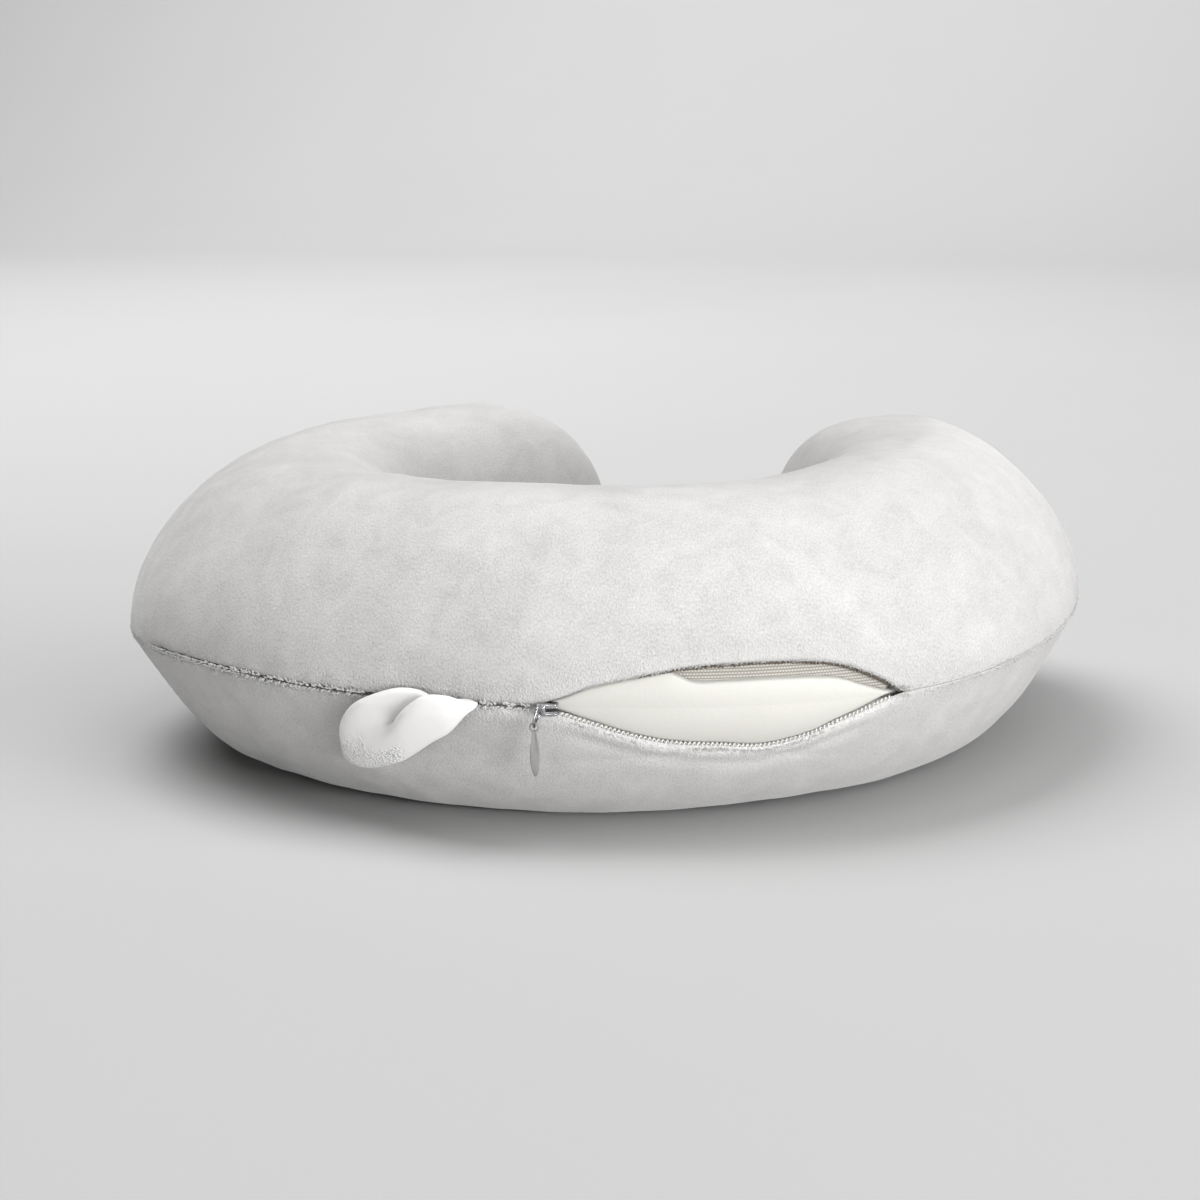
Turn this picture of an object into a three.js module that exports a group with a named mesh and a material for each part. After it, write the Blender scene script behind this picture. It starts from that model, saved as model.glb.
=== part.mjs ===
// Travel pillow: a horseshoe of foam in a cover made of an upper and a lower velour panel.
// The panels meet at a seam round the outside and at another round the neck space.
// The outer seam holds a zip, part open over the foam, and a hanging loop behind the neck.
// Millimetres, +Z up, neck space open towards +Y, origin under the middle of the outer box.

import * as THREE from "three";
import { mergeVertices } from "three/addons/utils/BufferGeometryUtils.js";

// Thicknesses and clearances
const COVER = 2;
const TAPE = 1;
const GAP = 0.3;
const FOAM_GAP = 0.65;
const WELD = 1e-4;

// Spine: the line the stuffed tube follows, half an oval behind the neck and two curling arms.
// Angles are in degrees, 0 at the back of the neck, positive round the +X side.
const SPINE_HALF_WIDTH = 103;
const SPINE_NECK_DEPTH = 107.4;
const SPINE_ARM_DEPTH = 127.7;
const SPINE_NECK_POWER = 2;
const SPINE_ARM_POWER = 1.77;
const SPINE_END = 151.3;
const SPINE_SAMPLES = 1500;
const TANGENT_STEP = 0.5;

// Rounded arm ends
const CAP_LENGTH = 57.9;
const CAP_STEPS = 7;
const CAP_RISE_POWER = 0.94;

// Tube sizes along the spine: reach to the outer seam, reach to the inner seam, top height.
const TUBE = mirrored([
  { angle: 0, outer: 45.3, inner: 45.7, crest: 95.6 },
  { angle: 50, outer: 55.2, inner: 45, crest: 94.2 },
  { angle: 90, outer: 52, inner: 43.5, crest: 96.7 },
  { angle: 129, outer: 52, inner: 50.5, crest: 97.5 },
  { angle: 152, outer: 52, inner: 50.5, crest: 99.5 },
]);

// Height of the seam round the pillow, a little uneven where the filled cover has settled.
const SEAM = [
  { angle: -152, height: 42.4 },
  { angle: -100, height: 40.2 },
  { angle: -65, height: 39.6 },
  { angle: -35, height: 42.8 },
  { angle: -5, height: 40.6 },
  { angle: 25, height: 39.6 },
  { angle: 60, height: 38.9 },
  { angle: 100, height: 43.6 },
  { angle: 152, height: 42.6 },
];

// Quarter curves of a section. Lean: degrees off upright at the seam. Hold: how far the
// curve keeps that lean. Flat: how far it runs level beside the crest or the foot.
// Foot: reach of the level underside as a share of the reach to the seam.
const QUARTERS = {
  upperOuter: { lean: -4.4, hold: 0.43, flat: 0.535, foot: 0 },
  upperInner: { lean: 10, hold: 0.77, flat: 0.69, foot: 0 },
  lowerOuter: { lean: 28.7, hold: 0.094, flat: 0.528, foot: 0.205 },
  lowerInner: { lean: 30, hold: 0.094, flat: 0.528, foot: 0.45 },
};
const CURVE_SAMPLES = 40;

// Stations along the tube between the arm ends, close together at the zip opening.
const OPENING_FROM = 12;
const OPENING_TO = 53.4;
const SLIDER_STATION = 13.2;
const OPENING_STEPS = 13;
const STATION_RUNS = [
  { to: -34, steps: 10 },
  { to: OPENING_FROM, steps: 6 },
  { to: SLIDER_STATION, steps: 1 },
  { to: OPENING_TO, steps: OPENING_STEPS },
  { to: Infinity, steps: 8 },
];

// Facets across the panels and round the foam
const FACETS = { upperOuter: 7, upperInner: 6, lowerOuter: 5, foot: 2, lowerInner: 4 };

// Zip opening: how far each lip stands from the seam line, measured over the surface, and how
// much of the upper tape shows below its lip. A tape that is less than nothing stays tucked in.
const OPENING = [
  { angle: OPENING_FROM, upper: 0, lower: 0, tape: -1.2 },
  { angle: SLIDER_STATION, upper: 2.4, lower: 2.4, tape: -1.2 },
  { angle: 16.5, upper: 3.2, lower: 3, tape: -1.2 },
  { angle: 19.1, upper: 6, lower: 5.6, tape: -1.2 },
  { angle: 23.7, upper: 8.8, lower: 10.2, tape: -1.2 },
  { angle: 26.8, upper: 10.4, lower: 12.5, tape: -1.2 },
  { angle: 28.4, upper: 11.2, lower: 13.3, tape: 1.4 },
  { angle: 30.2, upper: 11.8, lower: 14, tape: 4.2 },
  { angle: 33, upper: 12.3, lower: 14.5, tape: 4.7 },
  { angle: 38.5, upper: 12.6, lower: 15.8, tape: 4.8 },
  { angle: 43.3, upper: 12.2, lower: 12.6, tape: 4.8 },
  { angle: 46.1, upper: 9.8, lower: 8.6, tape: 4.5 },
  { angle: 48.6, upper: 7.3, lower: 5.6, tape: 3.9 },
  { angle: 51.1, upper: 3.8, lower: 2.4, tape: 2.4 },
  { angle: OPENING_TO, upper: 0, lower: 0, tape: 0 },
];

// Zip tapes and coils: room between cover and tape, width tucked under a lip, width of the lower
// tape past its lip, coil radius, depth of each coil under the cover face. The upper tape has
// rolled over, so its coil lies behind its edge.
const TAPE_CLEAR = 0.75;
const TAPE_TUCK = 2.5;
const LOWER_TAPE_SHOWS = -0.05;
const COIL_RADIUS = 0.6;
const COIL_SIDES = 6;
const UPPER_COIL_DEPTH = 4.8;
const UPPER_COIL_BACK = 0.8;
const LOWER_COIL_DEPTH = 1.9;

// Foam is pressed in behind the tapes and swells out between them. Walls: from pressed to
// swollen, in mm down from the upper tape's edge and up from the lower tape's edge. Where the
// upper tape is tucked in, the wall stands this far behind the lip.
const PRESS = { upper: 3.3, lower: 1.8 };
const PRESS_FROM = 10;
const PRESS_TO = 55;
const PRESS_FADE = 5;
const PRESS_REACH = [30, 42];
const SWELL = 1.4;
const CROWN = 1.2;
const SWELL_FROM = [16.2, 17.8];
const UPPER_WALL = [-0.1, 1.8];
const LOWER_WALL = [1.3, 3.1];
const WALL_BEHIND_LIP = 0.5;
const RIDGE_HALF = 12;
const RIDGE_RADIUS = 40;
const LEAST_FACET = 0.6;

// Slider: a folded channel open towards the parted lips, half sunk in the seam.
const SLIDER_ANGLE = 14.75;
const SLIDER_LENGTH = 6.2;
const SLIDER_HEIGHT = 3.6;
const SLIDER_PLATE = 1;
const SLIDER_DEPTH = 5;
const SLIDER_BEVEL = 0.2;
const SLIDER_SINK = 2.9;
const SLIDER_DROP = 0.2;
const SLIDER_NOSE = 0.38;
const SLIDER_NOSE_TAPER = 0.5;

// Wire bail on the slider, and the leaf shaped pull that hangs from it.
const BAIL_RADIUS = 0.32;
const BAIL_SIDES = 6;
const BAIL_STEPS = 18;
const BAIL_ANGLE = 14.1;
const BAIL_PATH = [
  [0, 1.3, 0.5],
  [-0.1, 1.3, 1.2],
  [-0.6, 0.7, 2.3],
  [-1.1, -1.2, 3],
  [-1.5, -3.4, 2.9],
  [-1.5, -4.4, 1.8],
  [-1.4, -3.5, 0.8],
  [-0.5, -1.9, 1.2],
  [0, -1.3, 0.9],
  [0, -1.3, 0.5],
];
const BAIL_LOWEST = 5;
const PULL_LENGTH = 15.8;
const PULL_WIDTH = 2.8;
const PULL_THICKNESS = 0.9;
const PULL_BEVEL = 0.2;
const PULL_EYE_RADIUS = 1.5;
const PULL_HOLE_RADIUS = 0.95;
const PULL_NECK_WIDTH = 1.2;
const PULL_SLACK = 0.05;
const PULL_BELLY = 0.62;
const PULL_NECK_HOLD = 2.4;
const PULL_BELLY_HOLD = 0.55;
const PULL_TIP_HOLD = { across: 0.85, down: 0.97 };
const PULL_CURVE_STEPS = 5;

// Hanging loop: a soft band sewn in at one end, turned back in its own plane so that only a slit
// is left between its legs. Each row is a section: its inner and its outer edge, as [distance
// along the seam, distance up the cover, lift off it], and its thickness.
const LOOP_ROOT_ANGLE = 6.3;
const LOOP_SIDES = 10;
const LOOP_MM_PER_DEGREE = 2.65;
const LOOP = [
  { inner: [-2.2, 2.4, 3.8], outer: [-2.2, 0.2, 3.8], thick: 3 },
  { inner: [0.6, 3.1, 5.8], outer: [0.6, -1.8, 5.4], thick: 3.2 },
  { inner: [6, 4, 6.8], outer: [6, -6, 5.8], thick: 3.6 },
  { inner: [11.2, 3.8, 7.3], outer: [11.6, -9.6, 5.8], thick: 4 },
  { inner: [15.2, 1.6, 7.5], outer: [17.6, -14, 5.7], thick: 4.2 },
  { inner: [19.6, -2.3, 7.3], outer: [23.5, -17.8, 5.6], thick: 4.5 },
  { inner: [22.6, -4.4, 6.9], outer: [30.5, -20.6, 5.4], thick: 4.9 },
  { inner: [24.2, -5.4, 6.3], outer: [38.6, -23, 5.2], thick: 5.3 },
  { inner: [25.2, -6.2, 5.6], outer: [45.6, -20.6, 5], thick: 5.6 },
  { inner: [25.6, -6.8, 4.9], outer: [44.6, -13.6, 4.8], thick: 5.6 },
  { inner: [25.4, -7.2, 4.2], outer: [41.6, -6.6, 4.6], thick: 5.3 },
  { inner: [24.8, -7.5, 3.5], outer: [36.2, -1.3, 4.2], thick: 5 },
  { inner: [23.6, -7.7, 2.9], outer: [29.3, 1.8, 3.6], thick: 4.6 },
  { inner: [21, -7.8, 2.5], outer: [21.6, 3.9, 3], thick: 4.2 },
  { inner: [16.5, -7.4, 2.35], outer: [15.2, 3.8, 2.6], thick: 4 },
  { inner: [11, -5.8, 2.25], outer: [10.6, 2.2, 2.35], thick: 3.8 },
  { inner: [6, -4, 2.1], outer: [6, 2, 2.1], thick: 3.5 },
  { inner: [0.6, -1.6, 2.05], outer: [0.6, 2.2, 2.05], thick: 3.2 },
];
const LOOP_CLEAR = 0.12;
const LOOP_STEPS = 36;
const LOOP_ROUNDING = 0.72;
const LOOP_TENSION = 0.5;
const LOOP_NORMAL_REACH = 6;

const VELOUR_UPPER = material(0xd4d2cf, 0.95);
const VELOUR_LOWER = material(0xcfcdca, 0.95);
const FOAM = material(0xeeede6, 0.85);
const ZIP_TAPE = material(0xb9b3a8, 0.9);
const ZIP_COIL = material(0xa8a39a, 0.6);
const CHROME = material(0xb8b8ba, 0.25, 1);
const PULL_ENAMEL = material(0xc6c5c4, 0.45, 0.2);
const BAND = material(0xf1efec, 0.95);

function material(color, roughness, metalness = 0) {
  return new THREE.MeshStandardMaterial({ color, roughness, metalness });
}

// Adds the same rows again at negative angles.
function mirrored(rows) {
  const other = rows.slice(1).reverse();
  return [...other.map((row) => ({ ...row, angle: -row.angle })), ...rows];
}

// Smooth curve through four neighbouring values, a share of the way from the second to the third.
function ease(values, places, share) {
  const span = places[2] - places[1];
  const startSlope = ((values[2] - values[0]) / (places[2] - places[0])) * span;
  const endSlope = ((values[3] - values[1]) / (places[3] - places[1])) * span;
  const square = share * share;
  const cube = square * share;
  return (2 * cube - 3 * square + 1) * values[1] + (cube - 2 * square + share) * startSlope
    + (3 * square - 2 * cube) * values[2] + (cube - square) * endSlope;
}

// Reads a column of a table at an angle, on a smooth curve through the rows.
function read(rows, column, angle) {
  const last = rows.length - 1;
  const at = THREE.MathUtils.clamp(angle, rows[0].angle, rows[last].angle);
  let row = 0;
  while (row < last - 1 && at > rows[row + 1].angle) row += 1;
  const near = [Math.max(row - 1, 0), row, row + 1, Math.min(row + 2, last)];
  const places = near.map((index) => rows[index].angle);
  const values = near.map((index) => rows[index][column]);
  return ease(values, places, (at - places[1]) / (places[2] - places[1]));
}

function powerOf(value, power) {
  return Math.sign(value) * Math.abs(value) ** power;
}

function spinePoint(angle) {
  const turn = THREE.MathUtils.degToRad(angle);
  const arm = Math.abs(angle) > 90;
  const power = 2 / (arm ? SPINE_ARM_POWER : SPINE_NECK_POWER);
  const depth = arm ? SPINE_ARM_DEPTH : SPINE_NECK_DEPTH;
  const x = SPINE_HALF_WIDTH * powerOf(Math.sin(turn), power);
  return new THREE.Vector2(x, -depth * powerOf(Math.cos(turn), power));
}

// Lengths along one half of the spine, at evenly spaced angles from the back of the neck.
const spineLengths = [0];
for (let sample = 1; sample <= SPINE_SAMPLES; sample += 1) {
  const here = spinePoint((SPINE_END * sample) / SPINE_SAMPLES);
  const before = spinePoint((SPINE_END * (sample - 1)) / SPINE_SAMPLES);
  spineLengths.push(spineLengths[sample - 1] + here.distanceTo(before));
}
const SPINE_LENGTH = spineLengths[SPINE_SAMPLES];

function angleAtLength(length) {
  const reach = Math.abs(length);
  let sample = 1;
  while (sample < SPINE_SAMPLES && spineLengths[sample] < reach) sample += 1;
  const span = spineLengths[sample] - spineLengths[sample - 1];
  const share = (reach - spineLengths[sample - 1]) / span;
  return (Math.sign(length) * SPINE_END * (sample - 1 + share)) / SPINE_SAMPLES;
}

// A stop along the tube. Stops in an arm end slide back as the surface is drawn inwards,
// so that every surface has its own rounded end.
function bodyStop(angle) {
  return { swell: 1, angleFor: () => angle };
}

function capStop(side, step) {
  const turn = (step / CAP_STEPS) * (Math.PI / 2);
  const reach = (inset) => SPINE_LENGTH - CAP_LENGTH + (CAP_LENGTH - inset) * Math.cos(turn);
  return { swell: Math.sin(turn), angleFor: (inset) => side * angleAtLength(reach(inset)) };
}

function allStops() {
  const stops = [];
  for (let step = 0; step < CAP_STEPS; step += 1) stops.push(capStop(-1, step));
  const bodyEnd = angleAtLength(SPINE_LENGTH - CAP_LENGTH);
  let from = -bodyEnd;
  stops.push(bodyStop(from));
  for (const run of STATION_RUNS) {
    const to = Math.min(run.to, bodyEnd);
    for (let step = 1; step <= run.steps; step += 1) {
      stops.push(bodyStop(from + ((to - from) * step) / run.steps));
    }
    from = to;
  }
  for (let step = CAP_STEPS - 1; step >= 0; step -= 1) stops.push(capStop(1, step));
  return stops;
}

// One quarter of a section as (outward, up) points from the seam to the crest or the foot.
function quarterCurve(shape, reach, seam, level) {
  const side = Math.sign(reach) || 1;
  const foot = reach * shape.foot;
  const rise = (level - seam) * shape.hold;
  const drawn = side * Math.abs(rise) * Math.tan(THREE.MathUtils.degToRad(shape.lean));
  const curve = new THREE.CubicBezierCurve(
    new THREE.Vector2(reach, seam),
    new THREE.Vector2(reach - drawn, seam + rise),
    new THREE.Vector2(foot + (reach - foot) * shape.flat, level),
    new THREE.Vector2(foot, level),
  );
  return curve.getPoints(CURVE_SAMPLES);
}

// Section of the tube at a stop, every surface drawn in by the inset.
function sectionAt(stop, inset) {
  const angle = stop.angleFor(inset);
  const seam = read(SEAM, "height", angle);
  const outer = (read(TUBE, "outer", angle) - inset) * stop.swell;
  const inner = -(read(TUBE, "inner", angle) - inset) * stop.swell;
  const height = read(TUBE, "crest", angle) - inset - seam;
  const crest = seam + height * stop.swell ** CAP_RISE_POWER;
  const floor = seam - (seam - inset) * stop.swell;
  return {
    angle,
    seam,
    upperOuter: quarterCurve(QUARTERS.upperOuter, outer, seam, crest),
    upperInner: quarterCurve(QUARTERS.upperInner, inner, seam, crest).reverse(),
    lowerOuter: quarterCurve(QUARTERS.lowerOuter, outer, seam, floor),
    lowerInner: quarterCurve(QUARTERS.lowerInner, inner, seam, floor).reverse(),
  };
}

function lineLength(points) {
  let total = 0;
  for (let index = 1; index < points.length; index += 1) {
    total += points[index].distanceTo(points[index - 1]);
  }
  return total;
}

// The point a given length along a line of points.
function pointAlong(points, length) {
  let left = Math.max(length, 0);
  for (let index = 1; index < points.length; index += 1) {
    const span = points[index].distanceTo(points[index - 1]);
    if (left <= span && span > 0) return points[index - 1].clone().lerp(points[index], left / span);
    left -= span;
  }
  return points[points.length - 1].clone();
}

// Evenly spaced points over part of a line, both ends counted.
function spread(points, from, to, steps) {
  const stretch = [];
  for (let step = 0; step <= steps; step += 1) {
    stretch.push(pointAlong(points, from + ((to - from) * step) / steps));
  }
  return stretch;
}

// Turns an (outward, up) point of a section into space.
function place(angle, point) {
  const centre = spinePoint(angle);
  const ahead = spinePoint(angle + TANGENT_STEP).sub(spinePoint(angle - TANGENT_STEP)).normalize();
  return new THREE.Vector3(centre.x + ahead.y * point.x, centre.y - ahead.x * point.x, point.y);
}

function lipHeight(column, angle) {
  const open = angle >= OPENING[0].angle && angle <= OPENING[OPENING.length - 1].angle;
  return open ? Math.max(read(OPENING, column, angle), 0) : 0;
}

// Solid between rings of equal count. Rings may shrink to a line or a point at the ends.
function loft(rings, { closed = false, capped = false } = {}) {
  const count = rings[0].length;
  const positions = rings.flat().flatMap((point) => [point.x, point.y, point.z]);
  const faces = [];
  const lastRing = closed ? rings.length : rings.length - 1;
  for (let ring = 0; ring < lastRing; ring += 1) {
    const next = (ring + 1) % rings.length;
    for (let side = 0; side < count; side += 1) {
      const other = (side + 1) % count;
      const corners = [ring * count + side, ring * count + other, next * count + other, next * count + side];
      faces.push([corners[0], corners[1], corners[2]], [corners[0], corners[2], corners[3]]);
    }
  }
  if (capped) {
    for (const [ring, flip] of [[0, true], [rings.length - 1, false]]) {
      const middle = new THREE.Vector3();
      for (const point of rings[ring]) middle.addScaledVector(point, 1 / count);
      const hub = positions.length / 3;
      positions.push(middle.x, middle.y, middle.z);
      for (let side = 0; side < count; side += 1) {
        const pair = [ring * count + side, ring * count + ((side + 1) % count)];
        faces.push(flip ? [hub, pair[1], pair[0]] : [hub, pair[0], pair[1]]);
      }
    }
  }
  return solidFrom(positions, faces);
}

// Welds the corners, drops faces that have shrunk away and turns all faces outwards.
function solidFrom(positions, faces) {
  const rough = new THREE.BufferGeometry();
  rough.setAttribute("position", new THREE.Float32BufferAttribute(positions, 3));
  rough.setIndex(faces.flat());
  const welded = mergeVertices(rough, WELD);
  const index = welded.getIndex().array;
  const kept = [];
  for (let start = 0; start < index.length; start += 3) {
    const face = [index[start], index[start + 1], index[start + 2]];
    if (new Set(face).size === 3) kept.push(face);
  }
  const corner = (vertex) => new THREE.Vector3().fromBufferAttribute(welded.getAttribute("position"), vertex);
  let volume = 0;
  for (const face of kept) {
    volume += corner(face[0]).dot(corner(face[1]).cross(corner(face[2])));
  }
  welded.setIndex(kept.map((face) => (volume < 0 ? [face[0], face[2], face[1]] : face)).flat());
  welded.computeVertexNormals();
  return welded;
}

// Row of points over the upper face of a section, from the outer lip to the inner seam.
function upperRow(stop, inset) {
  const section = sectionAt(stop, inset);
  if (stop.swell === 0) {
    const tip = place(section.angle, new THREE.Vector2(0, section.seam + GAP / 2));
    return Array(FACETS.upperOuter + FACETS.upperInner + 1).fill(tip);
  }
  const from = GAP / 2 + lipHeight("upper", section.angle);
  const outer = spread(section.upperOuter, from, lineLength(section.upperOuter), FACETS.upperOuter);
  const to = lineLength(section.upperInner) - GAP / 2;
  const inner = spread(section.upperInner, 0, to, FACETS.upperInner);
  return [...outer, ...inner.slice(1)].map((point) => place(section.angle, point));
}

// Row of points under the lower face of a section, from the outer lip to the inner seam.
function lowerRow(stop, inset) {
  const section = sectionAt(stop, inset);
  if (stop.swell === 0) {
    const tip = place(section.angle, new THREE.Vector2(0, section.seam - GAP / 2));
    return Array(FACETS.lowerOuter + FACETS.foot + FACETS.lowerInner + 1).fill(tip);
  }
  const from = GAP / 2 + lipHeight("lower", section.angle);
  const outer = spread(section.lowerOuter, from, lineLength(section.lowerOuter), FACETS.lowerOuter);
  const to = lineLength(section.lowerInner) - GAP / 2;
  const inner = spread(section.lowerInner, 0, to, FACETS.lowerInner);
  const foot = spread([outer[outer.length - 1], inner[0]], 0, outer[outer.length - 1].distanceTo(inner[0]),
    FACETS.foot);
  return [...outer, ...foot.slice(1), ...inner.slice(1)].map((point) => place(section.angle, point));
}

function panelSolid(stops, rowAt) {
  return loft(stops.map((stop) => [...rowAt(stop, 0), ...rowAt(stop, COVER).reverse()]));
}

const upperTapeEdge = (angle) => lipHeight("upper", angle) - read(OPENING, "tape", angle);
const lowerTapeEdge = (angle) => -lipHeight("lower", angle) + LOWER_TAPE_SHOWS;
const foamTop = (angle) => Math.min(upperTapeEdge(angle), lipHeight("upper", angle) + WALL_BEHIND_LIP);

// How far the foam lies under its resting face, a signed length above the outer seam. Behind the
// tapes it is pressed in. Between them it swells out in a crown, the ridge at the seam rounded.
function foamPress(angle, above, press) {
  const { clamp, smoothstep } = THREE.MathUtils;
  const down = foamTop(angle) - above;
  const up = above - lowerTapeEdge(angle);
  const distance = Math.abs(above);
  const zipPart = smoothstep(angle, PRESS_FROM - PRESS_FADE, PRESS_FROM)
    * (1 - smoothstep(angle, PRESS_TO, PRESS_TO + PRESS_FADE)) * (1 - smoothstep(distance, ...PRESS_REACH));
  const shown = smoothstep(down, ...UPPER_WALL) * smoothstep(up, ...LOWER_WALL)
    * smoothstep(angle, ...SWELL_FROM);
  const crown = CROWN * Math.sqrt(clamp((4 * down * up) / Math.max(down + up, 1) ** 2, 0, 1));
  const ridge = Math.max(RIDGE_HALF - distance, 0) ** 2 / (2 * RIDGE_RADIUS);
  return zipPart * (press * (1 - shown) + (ridge - crown - SWELL) * shown);
}

// Lengths from the seam at which the foam's outer side has its points: level with those of the
// cover, but with both ends of the wall by the tape in place of the first ones in the opening.
function foamStops(total, lip, walls, facets) {
  const from = lip === 0 ? 0 : GAP / 2 + lip;
  const level = (step) => from + ((total - from) * step) / facets;
  const near = Math.max(walls[0], LEAST_FACET);
  const far = Math.max(walls[1], near + LEAST_FACET);
  const stopsOut = lip === 0 ? [0, level(1), level(2)] : [0, near, far];
  for (let step = 3; step <= facets; step += 1) stopsOut.push(level(step));
  return stopsOut;
}

// Outer side of the foam in a section, from the seam to the crest or to the foot.
function foamSide(name, sign, section, deeper, walls, press) {
  const total = lineLength(section[name]);
  const lip = lipHeight(sign > 0 ? "upper" : "lower", section.angle);
  return foamStops(total, lip, walls, FACETS[name]).map((distance) => {
    const resting = pointAlong(section[name], distance);
    const pressed = pointAlong(deeper[name], (distance / total) * lineLength(deeper[name]));
    return resting.lerp(pressed, foamPress(section.angle, sign * distance, press) / press);
  });
}

// Ring round the foam: up the outer side, over and down the neck side, back under the foot.
function foamRing(stop) {
  const inset = COVER + FOAM_GAP;
  const section = sectionAt(stop, inset);
  if (stop.swell === 0) {
    const sides = Object.values(FACETS).reduce((sum, facets) => sum + facets, 0);
    return Array(sides).fill(place(section.angle, new THREE.Vector2(0, section.seam)));
  }
  const { angle } = section;
  const upperWalls = UPPER_WALL.map((down) => foamTop(angle) - down).reverse();
  const lowerWalls = LOWER_WALL.map((up) => -lowerTapeEdge(angle) - up).reverse();
  const deeper = { upper: sectionAt(stop, inset + PRESS.upper), lower: sectionAt(stop, inset + PRESS.lower) };
  const upperOuter = foamSide("upperOuter", 1, section, deeper.upper, upperWalls, PRESS.upper);
  const lower = foamSide("lowerOuter", -1, section, deeper.lower, lowerWalls, PRESS.lower);
  const side = (name) => spread(section[name], 0, lineLength(section[name]), FACETS[name]);
  const upper = [...upperOuter, ...side("upperInner").slice(1)];
  const inner = side("lowerInner");
  const foot = spread([lower[lower.length - 1], inner[0]], 0, lower[lower.length - 1].distanceTo(inner[0]),
    FACETS.foot);
  const under = [...lower, ...foot.slice(1), ...inner.slice(1)];
  return [...upper, ...under.reverse().slice(1, -1)].map((point) => place(section.angle, point));
}

// Point of a surface drawn in by an inset, a signed length above the outer seam.
function sidePoint(angle, inset, above) {
  const section = sectionAt(bodyStop(angle), inset);
  const line = above >= 0 ? section.upperOuter : section.lowerOuter;
  return pointAlong(line, Math.abs(above));
}

// Sections of the tapes and coils, at the stations that the panels have in the opening.
function tapeAngles() {
  const angles = [];
  for (let step = 1; step < OPENING_STEPS; step += 1) {
    angles.push(SLIDER_STATION + ((OPENING_TO - SLIDER_STATION) * step) / OPENING_STEPS);
  }
  return angles;
}

// Zip tape: a strip between two lengths from the seam, lying just under the cover.
function tapeSolid(edgesAt) {
  const under = COVER + TAPE_CLEAR;
  return loft(tapeAngles().map((angle) => {
    const [low, high] = edgesAt(angle);
    const middle = (low + high) / 2;
    const outside = [low, middle, high].map((above) => sidePoint(angle, under, above));
    const inside = [high, middle, low].map((above) => sidePoint(angle, under + TAPE, above));
    return [...outside, ...inside].map((point) => place(angle, point));
  }), { capped: true });
}

// Coil of the zip, as one thin round cord along a tape edge.
function coilSolid(depth, centreAt) {
  return loft(tapeAngles().map((angle) => {
    const centre = sidePoint(angle, depth, centreAt(angle));
    const ring = [];
    for (let side = 0; side < COIL_SIDES; side += 1) {
      const turn = (side / COIL_SIDES) * 2 * Math.PI;
      const offset = new THREE.Vector2(Math.cos(turn), Math.sin(turn)).multiplyScalar(COIL_RADIUS);
      ring.push(place(angle, centre.clone().add(offset)));
    }
    return ring;
  }), { capped: true });
}

// Frame standing on the seam: right along it, up, and straight out from the pillow.
function seamFrame(angle, above, out) {
  const origin = place(angle, sidePoint(angle, 0, 0));
  const outward = place(angle, new THREE.Vector2(1, 0)).sub(place(angle, new THREE.Vector2(0, 0)));
  const upward = new THREE.Vector3(0, 0, 1);
  const right = new THREE.Vector3().crossVectors(upward, outward);
  const frame = new THREE.Matrix4().makeBasis(right, upward, outward);
  origin.addScaledVector(upward, above).addScaledVector(outward, out);
  return frame.setPosition(origin);
}

function sliderGeometry() {
  const half = SLIDER_HEIGHT / 2 - SLIDER_BEVEL;
  const length = SLIDER_LENGTH - 2 * SLIDER_BEVEL;
  const throat = half + 2 * SLIDER_BEVEL - SLIDER_PLATE;
  const nose = length * SLIDER_NOSE;
  const taper = SLIDER_NOSE_TAPER;
  const outline = new THREE.Shape([
    new THREE.Vector2(0, half * taper),
    new THREE.Vector2(nose * taper, half),
    new THREE.Vector2(length, half),
    new THREE.Vector2(length, throat),
    new THREE.Vector2(nose, throat),
    new THREE.Vector2(nose, -throat),
    new THREE.Vector2(length, -throat),
    new THREE.Vector2(length, -half),
    new THREE.Vector2(nose * taper, -half),
    new THREE.Vector2(0, -half * taper),
  ]);
  const settings = {
    depth: SLIDER_DEPTH - 2 * SLIDER_BEVEL,
    bevelSize: SLIDER_BEVEL,
    bevelThickness: SLIDER_BEVEL,
    bevelSegments: 1,
  };
  const solid = new THREE.ExtrudeGeometry(outline, settings);
  solid.translate(SLIDER_BEVEL - SLIDER_LENGTH / 2, 0, SLIDER_BEVEL);
  return solid.applyMatrix4(seamFrame(SLIDER_ANGLE, -SLIDER_DROP, -SLIDER_SINK));
}

// Wire of round section bent through a row of points.
function wireGeometry(points, radius) {
  const outline = new THREE.Shape();
  for (let side = 0; side < BAIL_SIDES; side += 1) {
    const turn = (side / BAIL_SIDES) * 2 * Math.PI;
    outline[side ? "lineTo" : "moveTo"](Math.cos(turn) * radius, Math.sin(turn) * radius);
  }
  outline.closePath();
  const extrudePath = new THREE.CatmullRomCurve3(points.map((point) => new THREE.Vector3(...point)));
  return new THREE.ExtrudeGeometry(outline, { steps: BAIL_STEPS, extrudePath, bevelEnabled: false });
}

function bailGeometry() {
  const front = SLIDER_DEPTH - SLIDER_SINK;
  return wireGeometry(BAIL_PATH, BAIL_RADIUS).applyMatrix4(seamFrame(BAIL_ANGLE, -SLIDER_DROP, front));
}

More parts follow.
